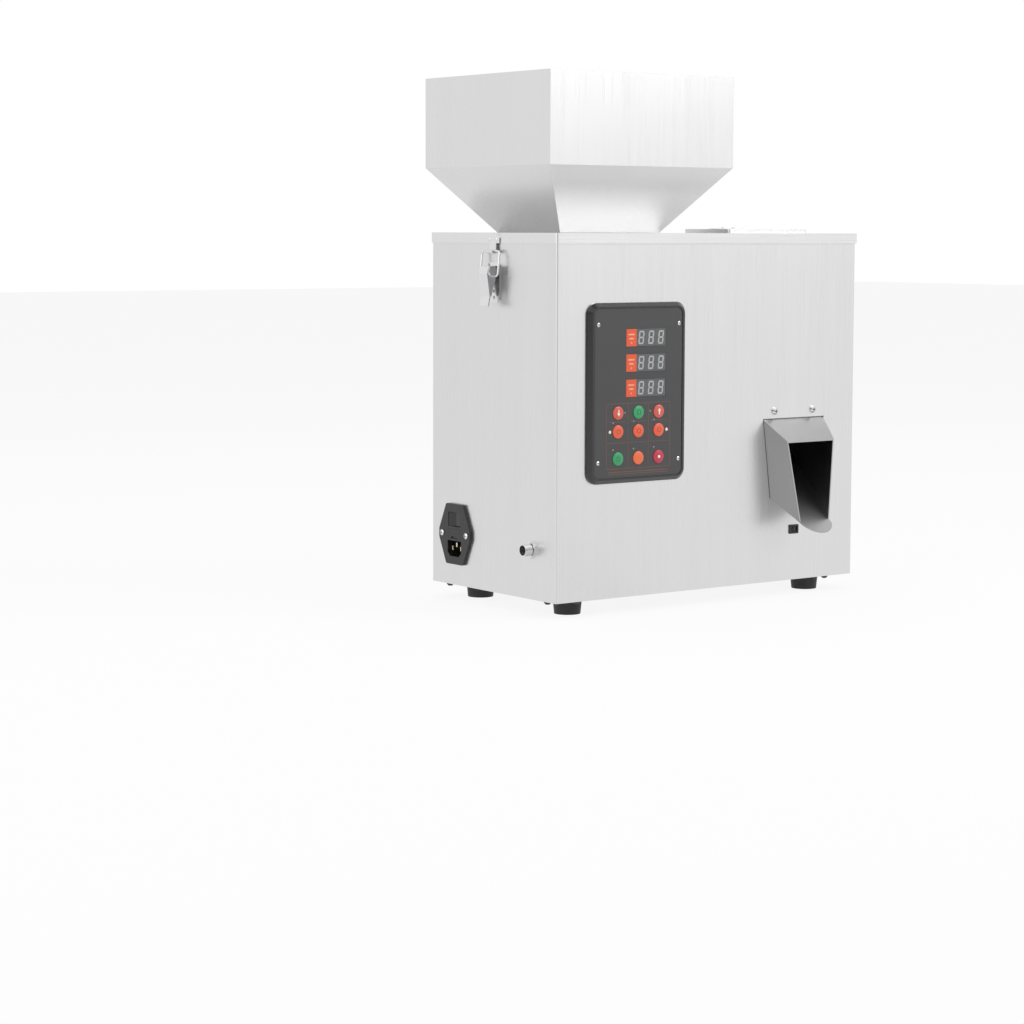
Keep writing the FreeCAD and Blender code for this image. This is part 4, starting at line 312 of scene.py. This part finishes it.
def add_wire(mesh, points, radius, sides=8):
    """Adds a round bead through points."""
    rings = []
    for index, point in enumerate(points):
        before = points[max(index - 1, 0)]
        after = points[min(index + 1, len(points) - 1)]
        way = (Vector(after) - Vector(before)).normalized()
        across = way.orthogonal().normalized()
        up = way.cross(across)
        ring = []
        for side in range(sides):
            turn = 2 * math.pi * side / sides
            ring.append(mesh.verts.new(Vector(point) + across * radius * math.cos(turn)
                                       + up * radius * math.sin(turn)))
        rings.append(ring)
    for low, high in zip(rings, rings[1:]):
        for side in range(sides):
            following = (side + 1) % sides
            mesh.faces.new((low[side], low[following], high[following], high[side]))
    mesh.faces.new(rings[0])
    mesh.faces.new(reversed(rings[-1]))


def smooth_sided(made_piece):
    """Smooth shading on a round piece, with its sharp edges kept."""
    for polygon in made_piece.data.polygons:
        polygon.use_smooth = True
    for edge in made_piece.data.edges:
        edge.use_edge_sharp = False
    made_piece.data.set_sharp_from_angle(angle=math.radians(35))


def islands(node):
    """Boxes of a node's separate solids, as (lowest corner, highest corner), left to right and top down."""
    mesh = bmesh.new()
    mesh.from_mesh(NODES[node].data)
    bmesh.ops.remove_doubles(mesh, verts=mesh.verts, dist=1e-6)
    left = set(mesh.verts)
    boxes = []
    while left:
        reached = [left.pop()]
        for vert in reached:
            for edge in vert.link_edges:
                other = edge.other_vert(vert)
                if other in left:
                    left.discard(other)
                    reached.append(other)
        low = Vector([min(v.co[i] for v in reached) for i in range(3)])
        high = Vector([max(v.co[i] for v in reached) for i in range(3)])
        boxes.append((low, high))
    mesh.free()
    return sorted(boxes, key=lambda box: (round(-box[0].z, 3), round(box[0].x, 3), round(box[0].y, 3)))


def middle_of(box):
    return (box[0] + box[1]) / 2


# ---- operators ----
class FILLER_OT_sheet_metal(bpy.types.Operator):
    """Brushed steel on the case, lid, hopper and chute"""
    bl_idname = "filler.sheet_metal"
    bl_label = "Sheet Metal"

    def execute(self, context):
        steel = finish().steel
        put_on(("case_wrap", "rear_panel", "hopper"), brushed_steel("case_steel", steel, 2))
        put_on(("lid", "hatch"), brushed_steel("lid_steel", [min(1, c * 1.04) for c in steel], 0))
        put_on(("base_plate",), brushed_steel("base_steel", [c * 0.8 for c in steel], 0, 0.4))
        put_on(("discharge_chute",), brushed_steel("chute_steel", finish().chute_steel, 2, 0.34, 0.08))
        put_on(FEED_NODES, brushed_steel("feed_steel", [c * 0.95 for c in steel], 0, 0.24))
        return {"FINISHED"}


WELD_BEAD_R = 0.9 * MM
WELD_INSET = 1.3 * MM
WELD_BELOW_RIM = 9 * MM
WELD_STEPS_UP, WELD_STEPS_DOWN = 12, 16
CONE_BELOW_RIM = 86 * MM
NECK_HALF_WIDTH, NECK_HALF_DEPTH = 60 * MM, 50 * MM


class FILLER_OT_hopper_seams(bpy.types.Operator):
    """Ground weld beads in the hopper's inner corners"""
    bl_idname = "filler.hopper_seams"
    bl_label = "Hopper Seams"

    def execute(self, context):
        low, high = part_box("hopper")
        lid_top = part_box("lid")[1].z
        made = bmesh.new()
        middle = middle_of((low, high))
        for side in (-1, 1):
            for end in (-1, 1):
                top = Vector((middle.x + side * ((high.x - low.x) / 2 - WELD_INSET),
                              middle.y + end * ((high.y - low.y) / 2 - WELD_INSET), high.z - CONE_BELOW_RIM))
                neck = Vector((middle.x + side * (NECK_HALF_WIDTH - WELD_INSET),
                               middle.y + end * (NECK_HALF_DEPTH - WELD_INSET), lid_top))
                rim = Vector((top.x, top.y, high.z - WELD_BELOW_RIM))
                beads = [rim.lerp(top, i / WELD_STEPS_UP) for i in range(WELD_STEPS_UP)]
                beads += [top.lerp(neck, i / WELD_STEPS_DOWN) for i in range(WELD_STEPS_DOWN + 1)]
                add_wire(made, beads, WELD_BEAD_R)
        seam = piece("hopper_weld_beads", made, "lid",
                     brushed_steel("weld_steel", [c * 0.85 for c in finish().steel], 2, 0.4, 0.2))
        smooth_sided(seam)
        return {"FINISHED"}


BASE_RIVET_R, BASE_RIVET_HEIGHT = 2.2, 0.9
BASE_RIVETS_UP = (4.5, 10.5)
BASE_PLATE = 1.2 * MM
KEEPER_RIVET_R, KEEPER_RIVET_HEIGHT = 1.7, 0.7
KEEPER_RIVETS_ACROSS = (-5.5, 5.5)
KEEPER_RIVETS_DOWN = 5.2
KEEPER_PLATE = 1.0 * MM
RIVET_SIDES = 24


class FILLER_OT_latches(bpy.types.Operator):
    """Plating of the latches, with rivet heads on bases and keepers"""
    bl_idname = "filler.latches"
    bl_label = "Latches"

    def execute(self, context):
        chrome = plated("bright_plating", finish().chrome, 0.16)
        put_on(PLATED_NODES, chrome)
        for side, way in (("left", -1), ("right", 1)):
            base = [box for box in islands("latch_bases") if box[0].x * way > 0][0]
            strike = [box for box in islands("keepers") if box[0].x * way > 0][0]
            middle_y = middle_of(base).y
            rivets = bmesh.new()
            face = (base[1].x if way < 0 else base[0].x) + way * BASE_PLATE
            form = rivet_profile(BASE_RIVET_R, BASE_RIVET_HEIGHT)
            for up in BASE_RIVETS_UP:
                add_turned(rivets, form, (face, middle_y, base[0].z + up * MM), (way, 0, 0), RIVET_SIDES)
            smooth_sided(piece("latch_base_rivets_" + side, rivets, "case", chrome))
            heads = bmesh.new()
            face = (strike[1].x if way < 0 else strike[0].x) + way * KEEPER_PLATE
            form = rivet_profile(KEEPER_RIVET_R, KEEPER_RIVET_HEIGHT)
            for across in KEEPER_RIVETS_ACROSS:
                spot = (face, middle_y + across * MM, strike[1].z - KEEPER_RIVETS_DOWN * MM)
                add_turned(heads, form, spot, (way, 0, 0), RIVET_SIDES)
            smooth_sided(piece("keeper_rivets_" + side, heads, "lid", chrome))
        return {"FINISHED"}


def rivet_profile(radius, height):
    """Domed rivet head, in millimetres, as a lathe profile in metres."""
    steps = 6
    dome = [(radius * math.cos(math.pi / 2 * i / steps), height * math.sin(math.pi / 2 * i / steps))
            for i in range(steps + 1)]
    return [(0.0, 0.0)] + [(r * MM, h * MM) for r, h in dome[:-1]] + [(0.0, height * MM)]


class FILLER_OT_panel(bpy.types.Operator):
    """Panel frame, printed overlay, display windows, lamps and board"""
    bl_idname = "filler.panel"
    bl_label = "Control Panel"

    def execute(self, context):
        put_on(("panel_bezel",), moulded("bezel_plastic", finish().bezel, 0.22, 0.00001, 900.0,
                                         Coat_Weight=0.4, Coat_Roughness=0.12))
        put_on(("panel_overlay",), moulded("overlay_film", finish().overlay, 0.42, 0.00001, 2600.0))
        put_on(("displays",), moulded("display_window", (0.11, 0.115, 0.12), 0.18, 0.000005, 500.0))
        put_on(("indicator_leds",), moulded("lamp_lens", (0.86, 0.85, 0.74), 0.25))
        put_on(("control_board",), moulded("circuit_board", (0.02, 0.12, 0.05), 0.4))
        return {"FINISHED"}


DIGIT_WIDTH, DIGIT_HEIGHT = 6.6 * MM, 12.6 * MM
DIGIT_BAR, DIGIT_GAP, DIGIT_SLANT = 1.55 * MM, 0.25 * MM, 0.10
DIGIT_PROUD = 0.08 * MM
LABEL_WIDTH, LABEL_INSET, LABEL_PROUD = 12.2 * MM, 0.1 * MM, 0.12 * MM
LEGEND_PROUD = 0.16 * MM
LEGEND_BAR = 1.3
LEGEND_BARS = ((10.6, 3.6), (6.8, 2.6))  # height above the label's foot and half length
LEGEND_DOT_UP, LEGEND_DOT_R, LEGEND_DOT_PROUD = 3.4 * MM, 0.8 * MM, 0.05 * MM
DOT_SIDES = 16


class FILLER_OT_display_digits(bpy.types.Operator):
    """Pale seven-segment digits and the orange strip of each display"""
    bl_idname = "filler.display_digits"
    bl_label = "Display Digits"

    def execute(self, context):
        pale = moulded("segment_white", (0.42, 0.43, 0.43), 0.35)
        orange = moulded("label_orange", finish().label, 0.4)
        legend = moulded("legend_print", (0.86, 0.42, 0.25), 0.45)
        for number, (low, high) in enumerate(islands("displays"), 1):
            front = low.y
            strip_right = low.x + LABEL_WIDTH
            digits = bmesh.new()
            room = (high.x - strip_right) / 3
            for place in range(3):
                centre = (strip_right + room * (place + 0.5), (low.z + high.z) / 2)
                add_digit(digits, centre, front, DIGIT_WIDTH, DIGIT_HEIGHT)
            piece("display_%d_digits" % number, digits, "case", pale)
            strip = bmesh.new()
            add_block(strip, (low.x + LABEL_INSET, front - LABEL_PROUD, low.z + LABEL_INSET),
                      (strip_right, front, high.z - LABEL_INSET))
            piece("display_%d_label" % number, strip, "case", orange)
            marks = bmesh.new()
            middle_x = (low.x + strip_right) / 2
            for up, half in LEGEND_BARS:
                add_block(marks, (middle_x - half * MM, front - LEGEND_PROUD, low.z + up * MM),
                          (middle_x + half * MM, front - LABEL_PROUD, low.z + (up + LEGEND_BAR) * MM))
            add_turned(marks, disc_profile(LEGEND_DOT_R, LEGEND_DOT_PROUD),
                       (middle_x, front - LABEL_PROUD, low.z + LEGEND_DOT_UP), (0, -1, 0), DOT_SIDES)
            piece("display_%d_legend" % number, marks, "case", legend)
        return {"FINISHED"}


def disc_profile(radius, height):
    """Lathe profile of a flat disc."""
    return [(0, 0), (radius, 0), (radius, height), (0, height)]


def add_digit(mesh, centre, front, width, height):
    """Adds the seven bars of a figure eight, slanted a little to the right."""
    bar, gap = DIGIT_BAR, DIGIT_GAP
    half_w, half_h = width / 2, height / 2
    ends = half_w - gap - bar / 2
    for level in (-1, 0, 1):
        z = level * (half_h - bar / 2)
        outline = [(-ends - bar / 2, z), (-ends, z + bar / 2), (ends, z + bar / 2), (ends + bar / 2, z),
                   (ends, z - bar / 2), (-ends, z - bar / 2)]
        add_bar(mesh, outline, centre, front)
    for side in (-1, 1):
        for level in (-1, 1):
            x = side * (half_w - bar / 2)
            low = level * (half_h - bar / 2) if level < 0 else 0
            high = 0 if level < 0 else half_h - bar / 2
            tip = bar / 2
            outline = [(x, low + gap), (x - tip, low + gap + tip), (x - tip, high - gap - tip),
                       (x, high - gap), (x + tip, high - gap - tip), (x + tip, low + gap + tip)]
            add_bar(mesh, outline, centre, front)


def add_bar(mesh, outline, centre, front):
    """Adds one bar of a digit from its outline around the digit's centre."""
    points = [(centre[0] + x + z * DIGIT_SLANT, front, centre[1] + z) for x, z in outline]
    add_outline(mesh, points, (0, -DIGIT_PROUD, 0))


# Printed rules and dots, in millimetres from the overlay's middle.
RULE_LEFT, RULE_RIGHT = -38.4, 37.8
RULE_COLUMNS = (-12.6, 11.8)
RULE_LEVELS = (-9.6, -46.4, -70.6)
RULE_BROKEN_LEVEL, RULE_BREAK = -26.6, 3
FOOT_RULES = ((-73.6, 0.8), (-75.6, 0.5))  # level and width
FOOT_RULE_INSET = 2
RULE_WIDTH = 0.45
PRINT_PROUD = 0.04 * MM
PRINTED_DOTS = ((-30.5, -27.4), (-6.0, -26.6), (18.6, -26.0), (-30.5, -52.6), (-6.0, -52.4), (18.6, -51.8),
                (-16.4, -18.4), (14.0, -17.6))
PRINTED_DOT_R = 0.75 * MM


class FILLER_OT_panel_print(bpy.types.Operator):
    """Thin printed boxes round the keys, the double rule below and small index dots"""
    bl_idname = "filler.panel_print"
    bl_label = "Panel Print"

    def execute(self, context):
        low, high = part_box("panel_overlay")
        face = low.y
        centre_x, centre_z = (low.x + high.x) / 2, (low.z + high.z) / 2
        lines = bmesh.new()

        def rule(x0, z0, x1, z1, width=RULE_WIDTH):
            half = width * MM / 2
            across = half if x0 == x1 else 0
            along = half if z0 == z1 else 0
            add_block(lines, (centre_x + x0 * MM - across, face - PRINT_PROUD, centre_z + z0 * MM - along),
                      (centre_x + x1 * MM + across, face, centre_z + z1 * MM + along))

        for z in RULE_LEVELS:
            rule(RULE_LEFT, z, RULE_RIGHT, z)
        for x in (RULE_LEFT, RULE_RIGHT, *RULE_COLUMNS):
            rule(x, RULE_LEVELS[-1], x, RULE_LEVELS[0])
        walls = (RULE_LEFT, *RULE_COLUMNS, RULE_RIGHT)
        for x0, x1 in zip(walls, walls[1:]):
            rule(x0 + RULE_BREAK, RULE_BROKEN_LEVEL, x1 - RULE_BREAK, RULE_BROKEN_LEVEL)
        for z, width in FOOT_RULES:
            rule(RULE_LEFT + FOOT_RULE_INSET, z, RULE_RIGHT - FOOT_RULE_INSET, z, width)
        piece("panel_rules", lines, "case", moulded("rule_brown", (0.17, 0.075, 0.05), 0.45))
        dots = bmesh.new()
        for x, z in PRINTED_DOTS:
            add_turned(dots, disc_profile(PRINTED_DOT_R, PRINT_PROUD),
                       (centre_x + x * MM, face, centre_z + z * MM), (0, -1, 0), DOT_SIDES)
        piece("panel_dots", dots, "case", moulded("dot_grey", (0.32, 0.30, 0.28), 0.45))
        return {"FINISHED"}


KEY_COLOURS = {"red": (0.62, 0.085, 0.05), "green": (0.012, 0.30, 0.10), "orange": (0.76, 0.095, 0.03),
               "amber": (0.80, 0.13, 0.03), "crimson": (0.50, 0.012, 0.04)}
KEYS = (("red", "down"), ("green", "ring"), ("red", "up"), ("orange", "ring"), ("orange", "ring"),
        ("orange", "ring"), ("green", "ring"), ("amber", ""), ("crimson", "dot"))

# Signs on the keys, in millimetres: outlines across and up, lathe profiles as (radius, height).
ARROW = ((-0.65, -3.0), (-0.65, 0.2), (-1.9, 0.2), (0, 3.1), (1.9, 0.2), (0.65, 0.2), (0.65, -3.0))
ARROW_DEPTH, ARROW_BACK = 0.1 * MM, 0.04 * MM
RING = ((1.6, 0.02), (1.75, 0.1), (2.1, 0.1), (2.25, 0.0))
RING_BACK, RING_SIDES = 0.08 * MM, 32
DOT_R, DOT_HEIGHT, DOT_FORWARD, KEY_DOT_SIDES = 1.5, 0.25, 0.02 * MM, 20


class FILLER_OT_keys(bpy.types.Operator):
    """Coloured keys with their printed signs"""
    bl_idname = "filler.keys"
    bl_label = "Keys"

    def execute(self, context):
        caps = {name: moulded("key_" + name, colour, 0.3, 0.000005, 600.0, Coat_Weight=0.5,
                              Coat_Roughness=0.2)
                for name, colour in KEY_COLOURS.items()}
        dim = {name: moulded("key_sign_" + name, [c * 0.45 for c in colour], 0.4)
               for name, colour in KEY_COLOURS.items()}
        white = moulded("key_sign_white", (0.85, 0.80, 0.76), 0.4)
        for node, (colour, sign) in zip(BUTTONS, KEYS):
            put_on((node,), caps[colour])
            for polygon in NODES[node].data.polygons:
                polygon.use_smooth = True
            low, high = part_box(node)
            centre = Vector(((low.x + high.x) / 2, low.y, (low.z + high.z) / 2))
            if not sign:
                continue
            made = bmesh.new()
            if sign in ("up", "down"):
                way = 1 if sign == "up" else -1
                points = [centre + Vector((x * MM, ARROW_BACK, way * z * MM)) for x, z in ARROW]
                add_outline(made, points, (0, -ARROW_DEPTH, 0))
            elif sign == "dot":
                spot = centre + Vector((0, -DOT_FORWARD, 0))
                add_turned(made, rivet_profile(DOT_R, DOT_HEIGHT), spot, (0, -1, 0), KEY_DOT_SIDES)
            else:
                profile = [(r * MM, h * MM) for r, h in RING]
                add_turned(made, profile, centre + Vector((0, RING_BACK, 0)), (0, -1, 0), RING_SIDES)
            piece(node + "_sign", made, node, dim[colour] if sign == "ring" else white)
        return {"FINISHED"}


# Nodes of screws with a cross recess: way that the head faces, and half the cross's length in millimetres.
CROSSED = (("chute_screws", (0, -1, 0), 1.9), ("panel_screws", (0, -1, 0), 1.05),
           ("inlet_screws", (-1, 0, 0), 1.6), ("rear_screws", (0, 1, 0), 1.9),
           ("hatch_screws", (0, 0, 1), 1.3), ("base_screws", (0, 0, -1), 1.9))
CROSS_ARM_SHARE = 0.22
CROSS_BELOW, CROSS_PROUD = 0.10 * MM, 0.03 * MM


class FILLER_OT_screws(bpy.types.Operator):
    """Screws, with the shade in their cross recesses painted as near-black crosses on the heads"""
    bl_idname = "filler.screws"
    bl_label = "Screws"

    def execute(self, context):
        put_on(SCREW_NODES, plated("screw_plating", finish().chrome, 0.2))
        put_on(("base_screws",), moulded("black_oxide", (0.012, 0.012, 0.012), 0.4))
        # Painted shade: near-black crosses stand in for the shade inside the screw heads' recesses.
        shade_paint = moulded("recess_dark", (0.01, 0.01, 0.01), 0.5)
        for node, way, reach in CROSSED:
            body = "hatch" if node == "hatch_screws" else "case"
            made = bmesh.new()
            for box in islands(node):
                add_painted_cross(made, box, Vector(way), reach * MM)
            piece(node + "_recesses", made, body, shade_paint)
        return {"FINISHED"}


def add_painted_cross(mesh, box, way, reach):
    """Adds a near-black cross just proud of a screw head's crown: painted shade that stands for the recess.
    """
    axis = [i for i in range(3) if way[i]][0]
    top = (box[1] if way[axis] > 0 else box[0])[axis]
    centre = middle_of(box)
    others = [i for i in range(3) if i != axis]
    for long_axis, short_axis in (others, others[::-1]):
        low, high = centre.copy(), centre.copy()
        low[long_axis] -= reach
        high[long_axis] += reach
        low[short_axis] -= reach * CROSS_ARM_SHARE
        high[short_axis] += reach * CROSS_ARM_SHARE
        below, above = (CROSS_BELOW, CROSS_PROUD) if way[axis] > 0 else (CROSS_PROUD, CROSS_BELOW)
        low[axis], high[axis] = top - below, top + above
        add_block(mesh, low, high)


LENS_R, LENS_HEIGHT, LENS_BACK, LENS_SIDES = 2.2, 0.8, 1.0 * MM, 28


class FILLER_OT_inlet(bpy.types.Operator):
    """Appliance inlet, its blades and the bag sensor's lens"""
    bl_idname = "filler.inlet"
    bl_label = "Inlet And Sensor"

    def execute(self, context):
        put_on(BLACK_MOULD_NODES, moulded("inlet_plastic", (0.014, 0.014, 0.015), 0.36))
        put_on(("power_switch",), moulded("rocker_plastic", (0.020, 0.020, 0.021), 0.22, 0.00001))
        put_on(("inlet_pins",), plated("blade_brass", (0.75, 0.66, 0.45), 0.25))
        low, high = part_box("bag_sensor")
        lens = bmesh.new()
        spot = ((low.x + high.x) / 2, low.y + LENS_BACK, (low.z + high.z) / 2)
        add_turned(lens, rivet_profile(LENS_R, LENS_HEIGHT), spot, (0, -1, 0), LENS_SIDES)
        smooth_sided(piece("bag_sensor_lens", lens, "case",
                           moulded("sensor_lens", (0.03, 0.004, 0.006), 0.08, 0.000002, 300.0)))
        return {"FINISHED"}


THREAD_R, THREAD_WIRE_R, THREAD_TURNS, THREAD_STEPS = 5.85 * MM, 0.22 * MM, 8, 28
THREAD_FROM_MOUTH, THREAD_FROM_NUT = 1.2 * MM, 0.4 * MM


class FILLER_OT_connector(bpy.types.Operator):
    """Plated thread on the connector's barrel"""
    bl_idname = "filler.connector"
    bl_label = "Connector"

    def execute(self, context):
        low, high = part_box("connector_shell")
        nut_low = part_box("connector_nut")[0]
        middle = middle_of((low, high))
        thread = bmesh.new()
        start, end = low.x + THREAD_FROM_MOUTH, nut_low.x - THREAD_FROM_NUT
        steps = THREAD_TURNS * THREAD_STEPS
        path = []
        for step in range(steps + 1):
            turn = 2 * math.pi * step / THREAD_STEPS
            along = start + (end - start) * step / steps
            path.append((along, middle.y + THREAD_R * math.cos(turn), middle.z + THREAD_R * math.sin(turn)))
        add_wire(thread, path, THREAD_WIRE_R, 6)
        chrome = plated("connector_plating", finish().chrome, 0.12)
        smooth_sided(piece("connector_thread", thread, "case", chrome))
        return {"FINISHED"}


class FILLER_OT_feet(bpy.types.Operator):
    """Rubber of the feet and mounts"""
    bl_idname = "filler.feet"
    bl_label = "Feet"

    def execute(self, context):
        put_on(("feet", "rubber_mounts"), moulded("foot_rubber", finish().rubber, 0.55, 0.00008, 900.0))
        return {"FINISHED"}


class FILLER_OT_mechanism(bpy.types.Operator):
    """Finishes of the feeder, magnet, load cell and brackets inside the case"""
    bl_idname = "filler.mechanism"
    bl_label = "Mechanism"

    def execute(self, context):
        put_on(("feeder_stand", "load_cell_bracket"), moulded("bracket_paint", (0.30, 0.31, 0.32), 0.45))
        put_on(("vibrator_base",), moulded("cast_block", (0.06, 0.065, 0.07), 0.6, 0.0002, 500.0))
        put_on(("magnet", "transformer"), laminated("core_stack", (0.10, 0.085, 0.075), 1, 0.001))
        put_on(("solenoid",), moulded("solenoid_can", (0.08, 0.075, 0.07), 0.35))
        put_on(("leaf_springs",), brushed_steel("spring_steel", (0.30, 0.30, 0.31), 2, 0.35))
        put_on(("plunger",), brushed_steel("plunger_steel", (0.6, 0.6, 0.6), 2, 0.2))
        put_on(("load_cell",), brushed_steel("cell_aluminium", (0.78, 0.79, 0.80), 0, 0.35))
        return {"FINISHED"}


# Lamps: setting with the power, size, and place from the middle of the case's base, in metres.
LAMPS = (("key", "key_power", 1.6, (1.5, -1.9, 1.7)), ("fill", "fill_power", 1.8, (-2.2, -0.4, 1.3)),
         ("top", "fill_power", 1.6, (0, 0.3, 2.3)))
# Cards: width and height, place from the middle of the case's base, and brightness.
FLAGS = (("camera_flag", (1.3, 1.6), (-1.9, -2.3, 0.55), 0.10),
         ("top_flag", (2.2, 2.2), (-0.2, -0.2, 2.9), 0.30))
SENSOR_WIDTH = 36.0
FLOOR_SIZE = 24.0
FLOOR_GLOW = 0.88
WHITE = (1, 1, 1, 1)
PAPER = (0.82, 0.82, 0.82, 1)


class FILLER_OT_stage(bpy.types.Operator):
    """Camera, soft lamps, white surroundings and floor"""
    bl_idname = "filler.stage"
    bl_label = "Stage"

    def execute(self, context):
        settings = context.scene.filler_stage
        centre_y = (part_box("case_wrap")[0].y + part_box("rear_panel")[1].y) / 2
        origin = Vector((0, centre_y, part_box("case_wrap")[0].z))
        make_camera(settings, origin)
        make_world(settings)
        make_floor()
        for name, power, size, place in LAMPS:
            make_lamp(name, getattr(settings, power), size, origin + Vector(place), origin)
        for name, size, place, level in FLAGS:
            make_flag(name, size, origin + Vector(place), origin, level)
        context.scene.view_settings.view_transform = "Standard"
        return {"FINISHED"}


def make_camera(settings, origin):
    data = bpy.data.cameras.new("camera")
    data.lens = settings.lens
    data.sensor_width = SENSOR_WIDTH
    data.shift_y = settings.shift
    camera = bpy.data.objects.new("camera", data)
    ahead = Vector((math.sin(settings.yaw) * math.cos(settings.pitch),
                    math.cos(settings.yaw) * math.cos(settings.pitch), -math.sin(settings.pitch)))
    right = Vector((math.cos(settings.yaw), -math.sin(settings.yaw), 0))
    up = right.cross(ahead)
    rolled_right = right * math.cos(settings.roll) + up * math.sin(settings.roll)
    rolled_up = up * math.cos(settings.roll) - right * math.sin(settings.roll)
    turn = Matrix((rolled_right, rolled_up, -ahead)).transposed().to_4x4()
    camera.matrix_world = Matrix.Translation(origin + Vector(settings.camera_place)) @ turn
    bpy.context.scene.collection.objects.link(camera)
    bpy.context.scene.camera = camera


def seen_white(graph):
    """1 for rays that come from the camera, a gloss or a see-through surface."""
    rays = [graph.node("ShaderNodeLightPath", {}, output=name)
            for name in ("Is Camera Ray", "Is Glossy Ray", "Is Transmission Ray")]
    return rays[0].maths("MAXIMUM", rays[1]).maths("MAXIMUM", rays[2])


def make_world(settings):
    world = bpy.data.worlds.new("studio")
    bpy.context.scene.world = world
    graph = Graph(world)
    level = seen_white(graph) * (1 - settings.ambient) + settings.ambient
    background = graph.node("ShaderNodeBackground", {}, Color=WHITE, Strength=level)
    graph.node("ShaderNodeOutputWorld", {}, background)


def make_card(name, width, height):
    """Flat rectangle about the scene's origin."""
    mesh = bmesh.new()
    bmesh.ops.create_grid(mesh, x_segments=1, y_segments=1, size=0.5)
    bmesh.ops.scale(mesh, vec=(width, height, 1), verts=mesh.verts)
    data = bpy.data.meshes.new(name)
    mesh.to_mesh(data)
    mesh.free()
    card = bpy.data.objects.new(name, data)
    bpy.context.scene.collection.objects.link(card)
    return card


def make_floor():
    """Pale floor that is seen white but keeps a soft shadow."""
    floor = make_card("floor", FLOOR_SIZE, FLOOR_SIZE)
    made = bpy.data.materials.new("floor_paper")
    graph = Graph(made)
    paper = graph.node("ShaderNodeBsdfDiffuse", {}, Color=PAPER)
    glow = graph.node("ShaderNodeEmission", {}, Color=WHITE, Strength=1.0)
    graph.surface(graph.node("ShaderNodeMixShader", {}, seen_white(graph) * FLOOR_GLOW, paper, glow))
    floor.data.materials.append(made)


def aimed(place, target):
    """Matrix at a place with -Z towards a target."""
    turn = (Vector(target) - Vector(place)).to_track_quat("-Z", "Y")
    return Matrix.Translation(place) @ turn.to_matrix().to_4x4()


def make_lamp(name, power, size, place, target):
    data = bpy.data.lights.new(name, "AREA")
    data.energy = power
    data.size = size
    lamp = bpy.data.objects.new(name, data)
    lamp.matrix_world = aimed(place, target)
    bpy.context.scene.collection.objects.link(lamp)


def make_flag(name, size, place, target, level):
    """Grey card that only reflections show."""
    flag = make_card(name, *size)
    flag.matrix_world = aimed(place, target)
    made = bpy.data.materials.new(name + "_card")
    graph = Graph(made)
    graph.surface(graph.node("ShaderNodeEmission", {}, Color=WHITE, Strength=level))
    flag.data.materials.append(made)
    flag.visible_camera = False
    flag.visible_diffuse = False
    flag.visible_shadow = False
    flag.visible_transmission = False


OPERATORS = (FILLER_OT_sheet_metal, FILLER_OT_hopper_seams, FILLER_OT_latches, FILLER_OT_panel,
             FILLER_OT_display_digits, FILLER_OT_panel_print, FILLER_OT_keys, FILLER_OT_screws,
             FILLER_OT_inlet, FILLER_OT_connector, FILLER_OT_feet, FILLER_OT_mechanism, FILLER_OT_stage)


class FILLER_PT_panel(bpy.types.Panel):
    """Lists the steps that finish the filler"""
    bl_idname = "FILLER_PT_panel"
    bl_label = "Powder Filler"
    bl_space_type = "VIEW_3D"
    bl_region_type = "UI"
    bl_category = "Powder Filler"

    def draw(self, context):
        for step in OPERATORS:
            self.layout.operator(step.bl_idname)
        for settings in (context.scene.filler_finish, context.scene.filler_stage):
            for name in settings.bl_rna.properties.keys():
                if name not in ("rna_type", "name"):
                    self.layout.prop(settings, name)


CLASSES = (FinishSettings, StageSettings, *OPERATORS, FILLER_PT_panel)


def register():
    for cls in CLASSES:
        bpy.utils.register_class(cls)
    bpy.types.Scene.filler_finish = PointerProperty(type=FinishSettings)
    bpy.types.Scene.filler_stage = PointerProperty(type=StageSettings)


def unregister():
    del bpy.types.Scene.filler_stage
    del bpy.types.Scene.filler_finish
    for cls in reversed(CLASSES):
        bpy.utils.unregister_class(cls)


def main():
    register()
    for step in OPERATORS:
        group, name = step.bl_idname.split(".")
        getattr(getattr(bpy.ops, group), name)()
    bpy.context.view_layer.update()


if __name__ == "__main__":
    main()
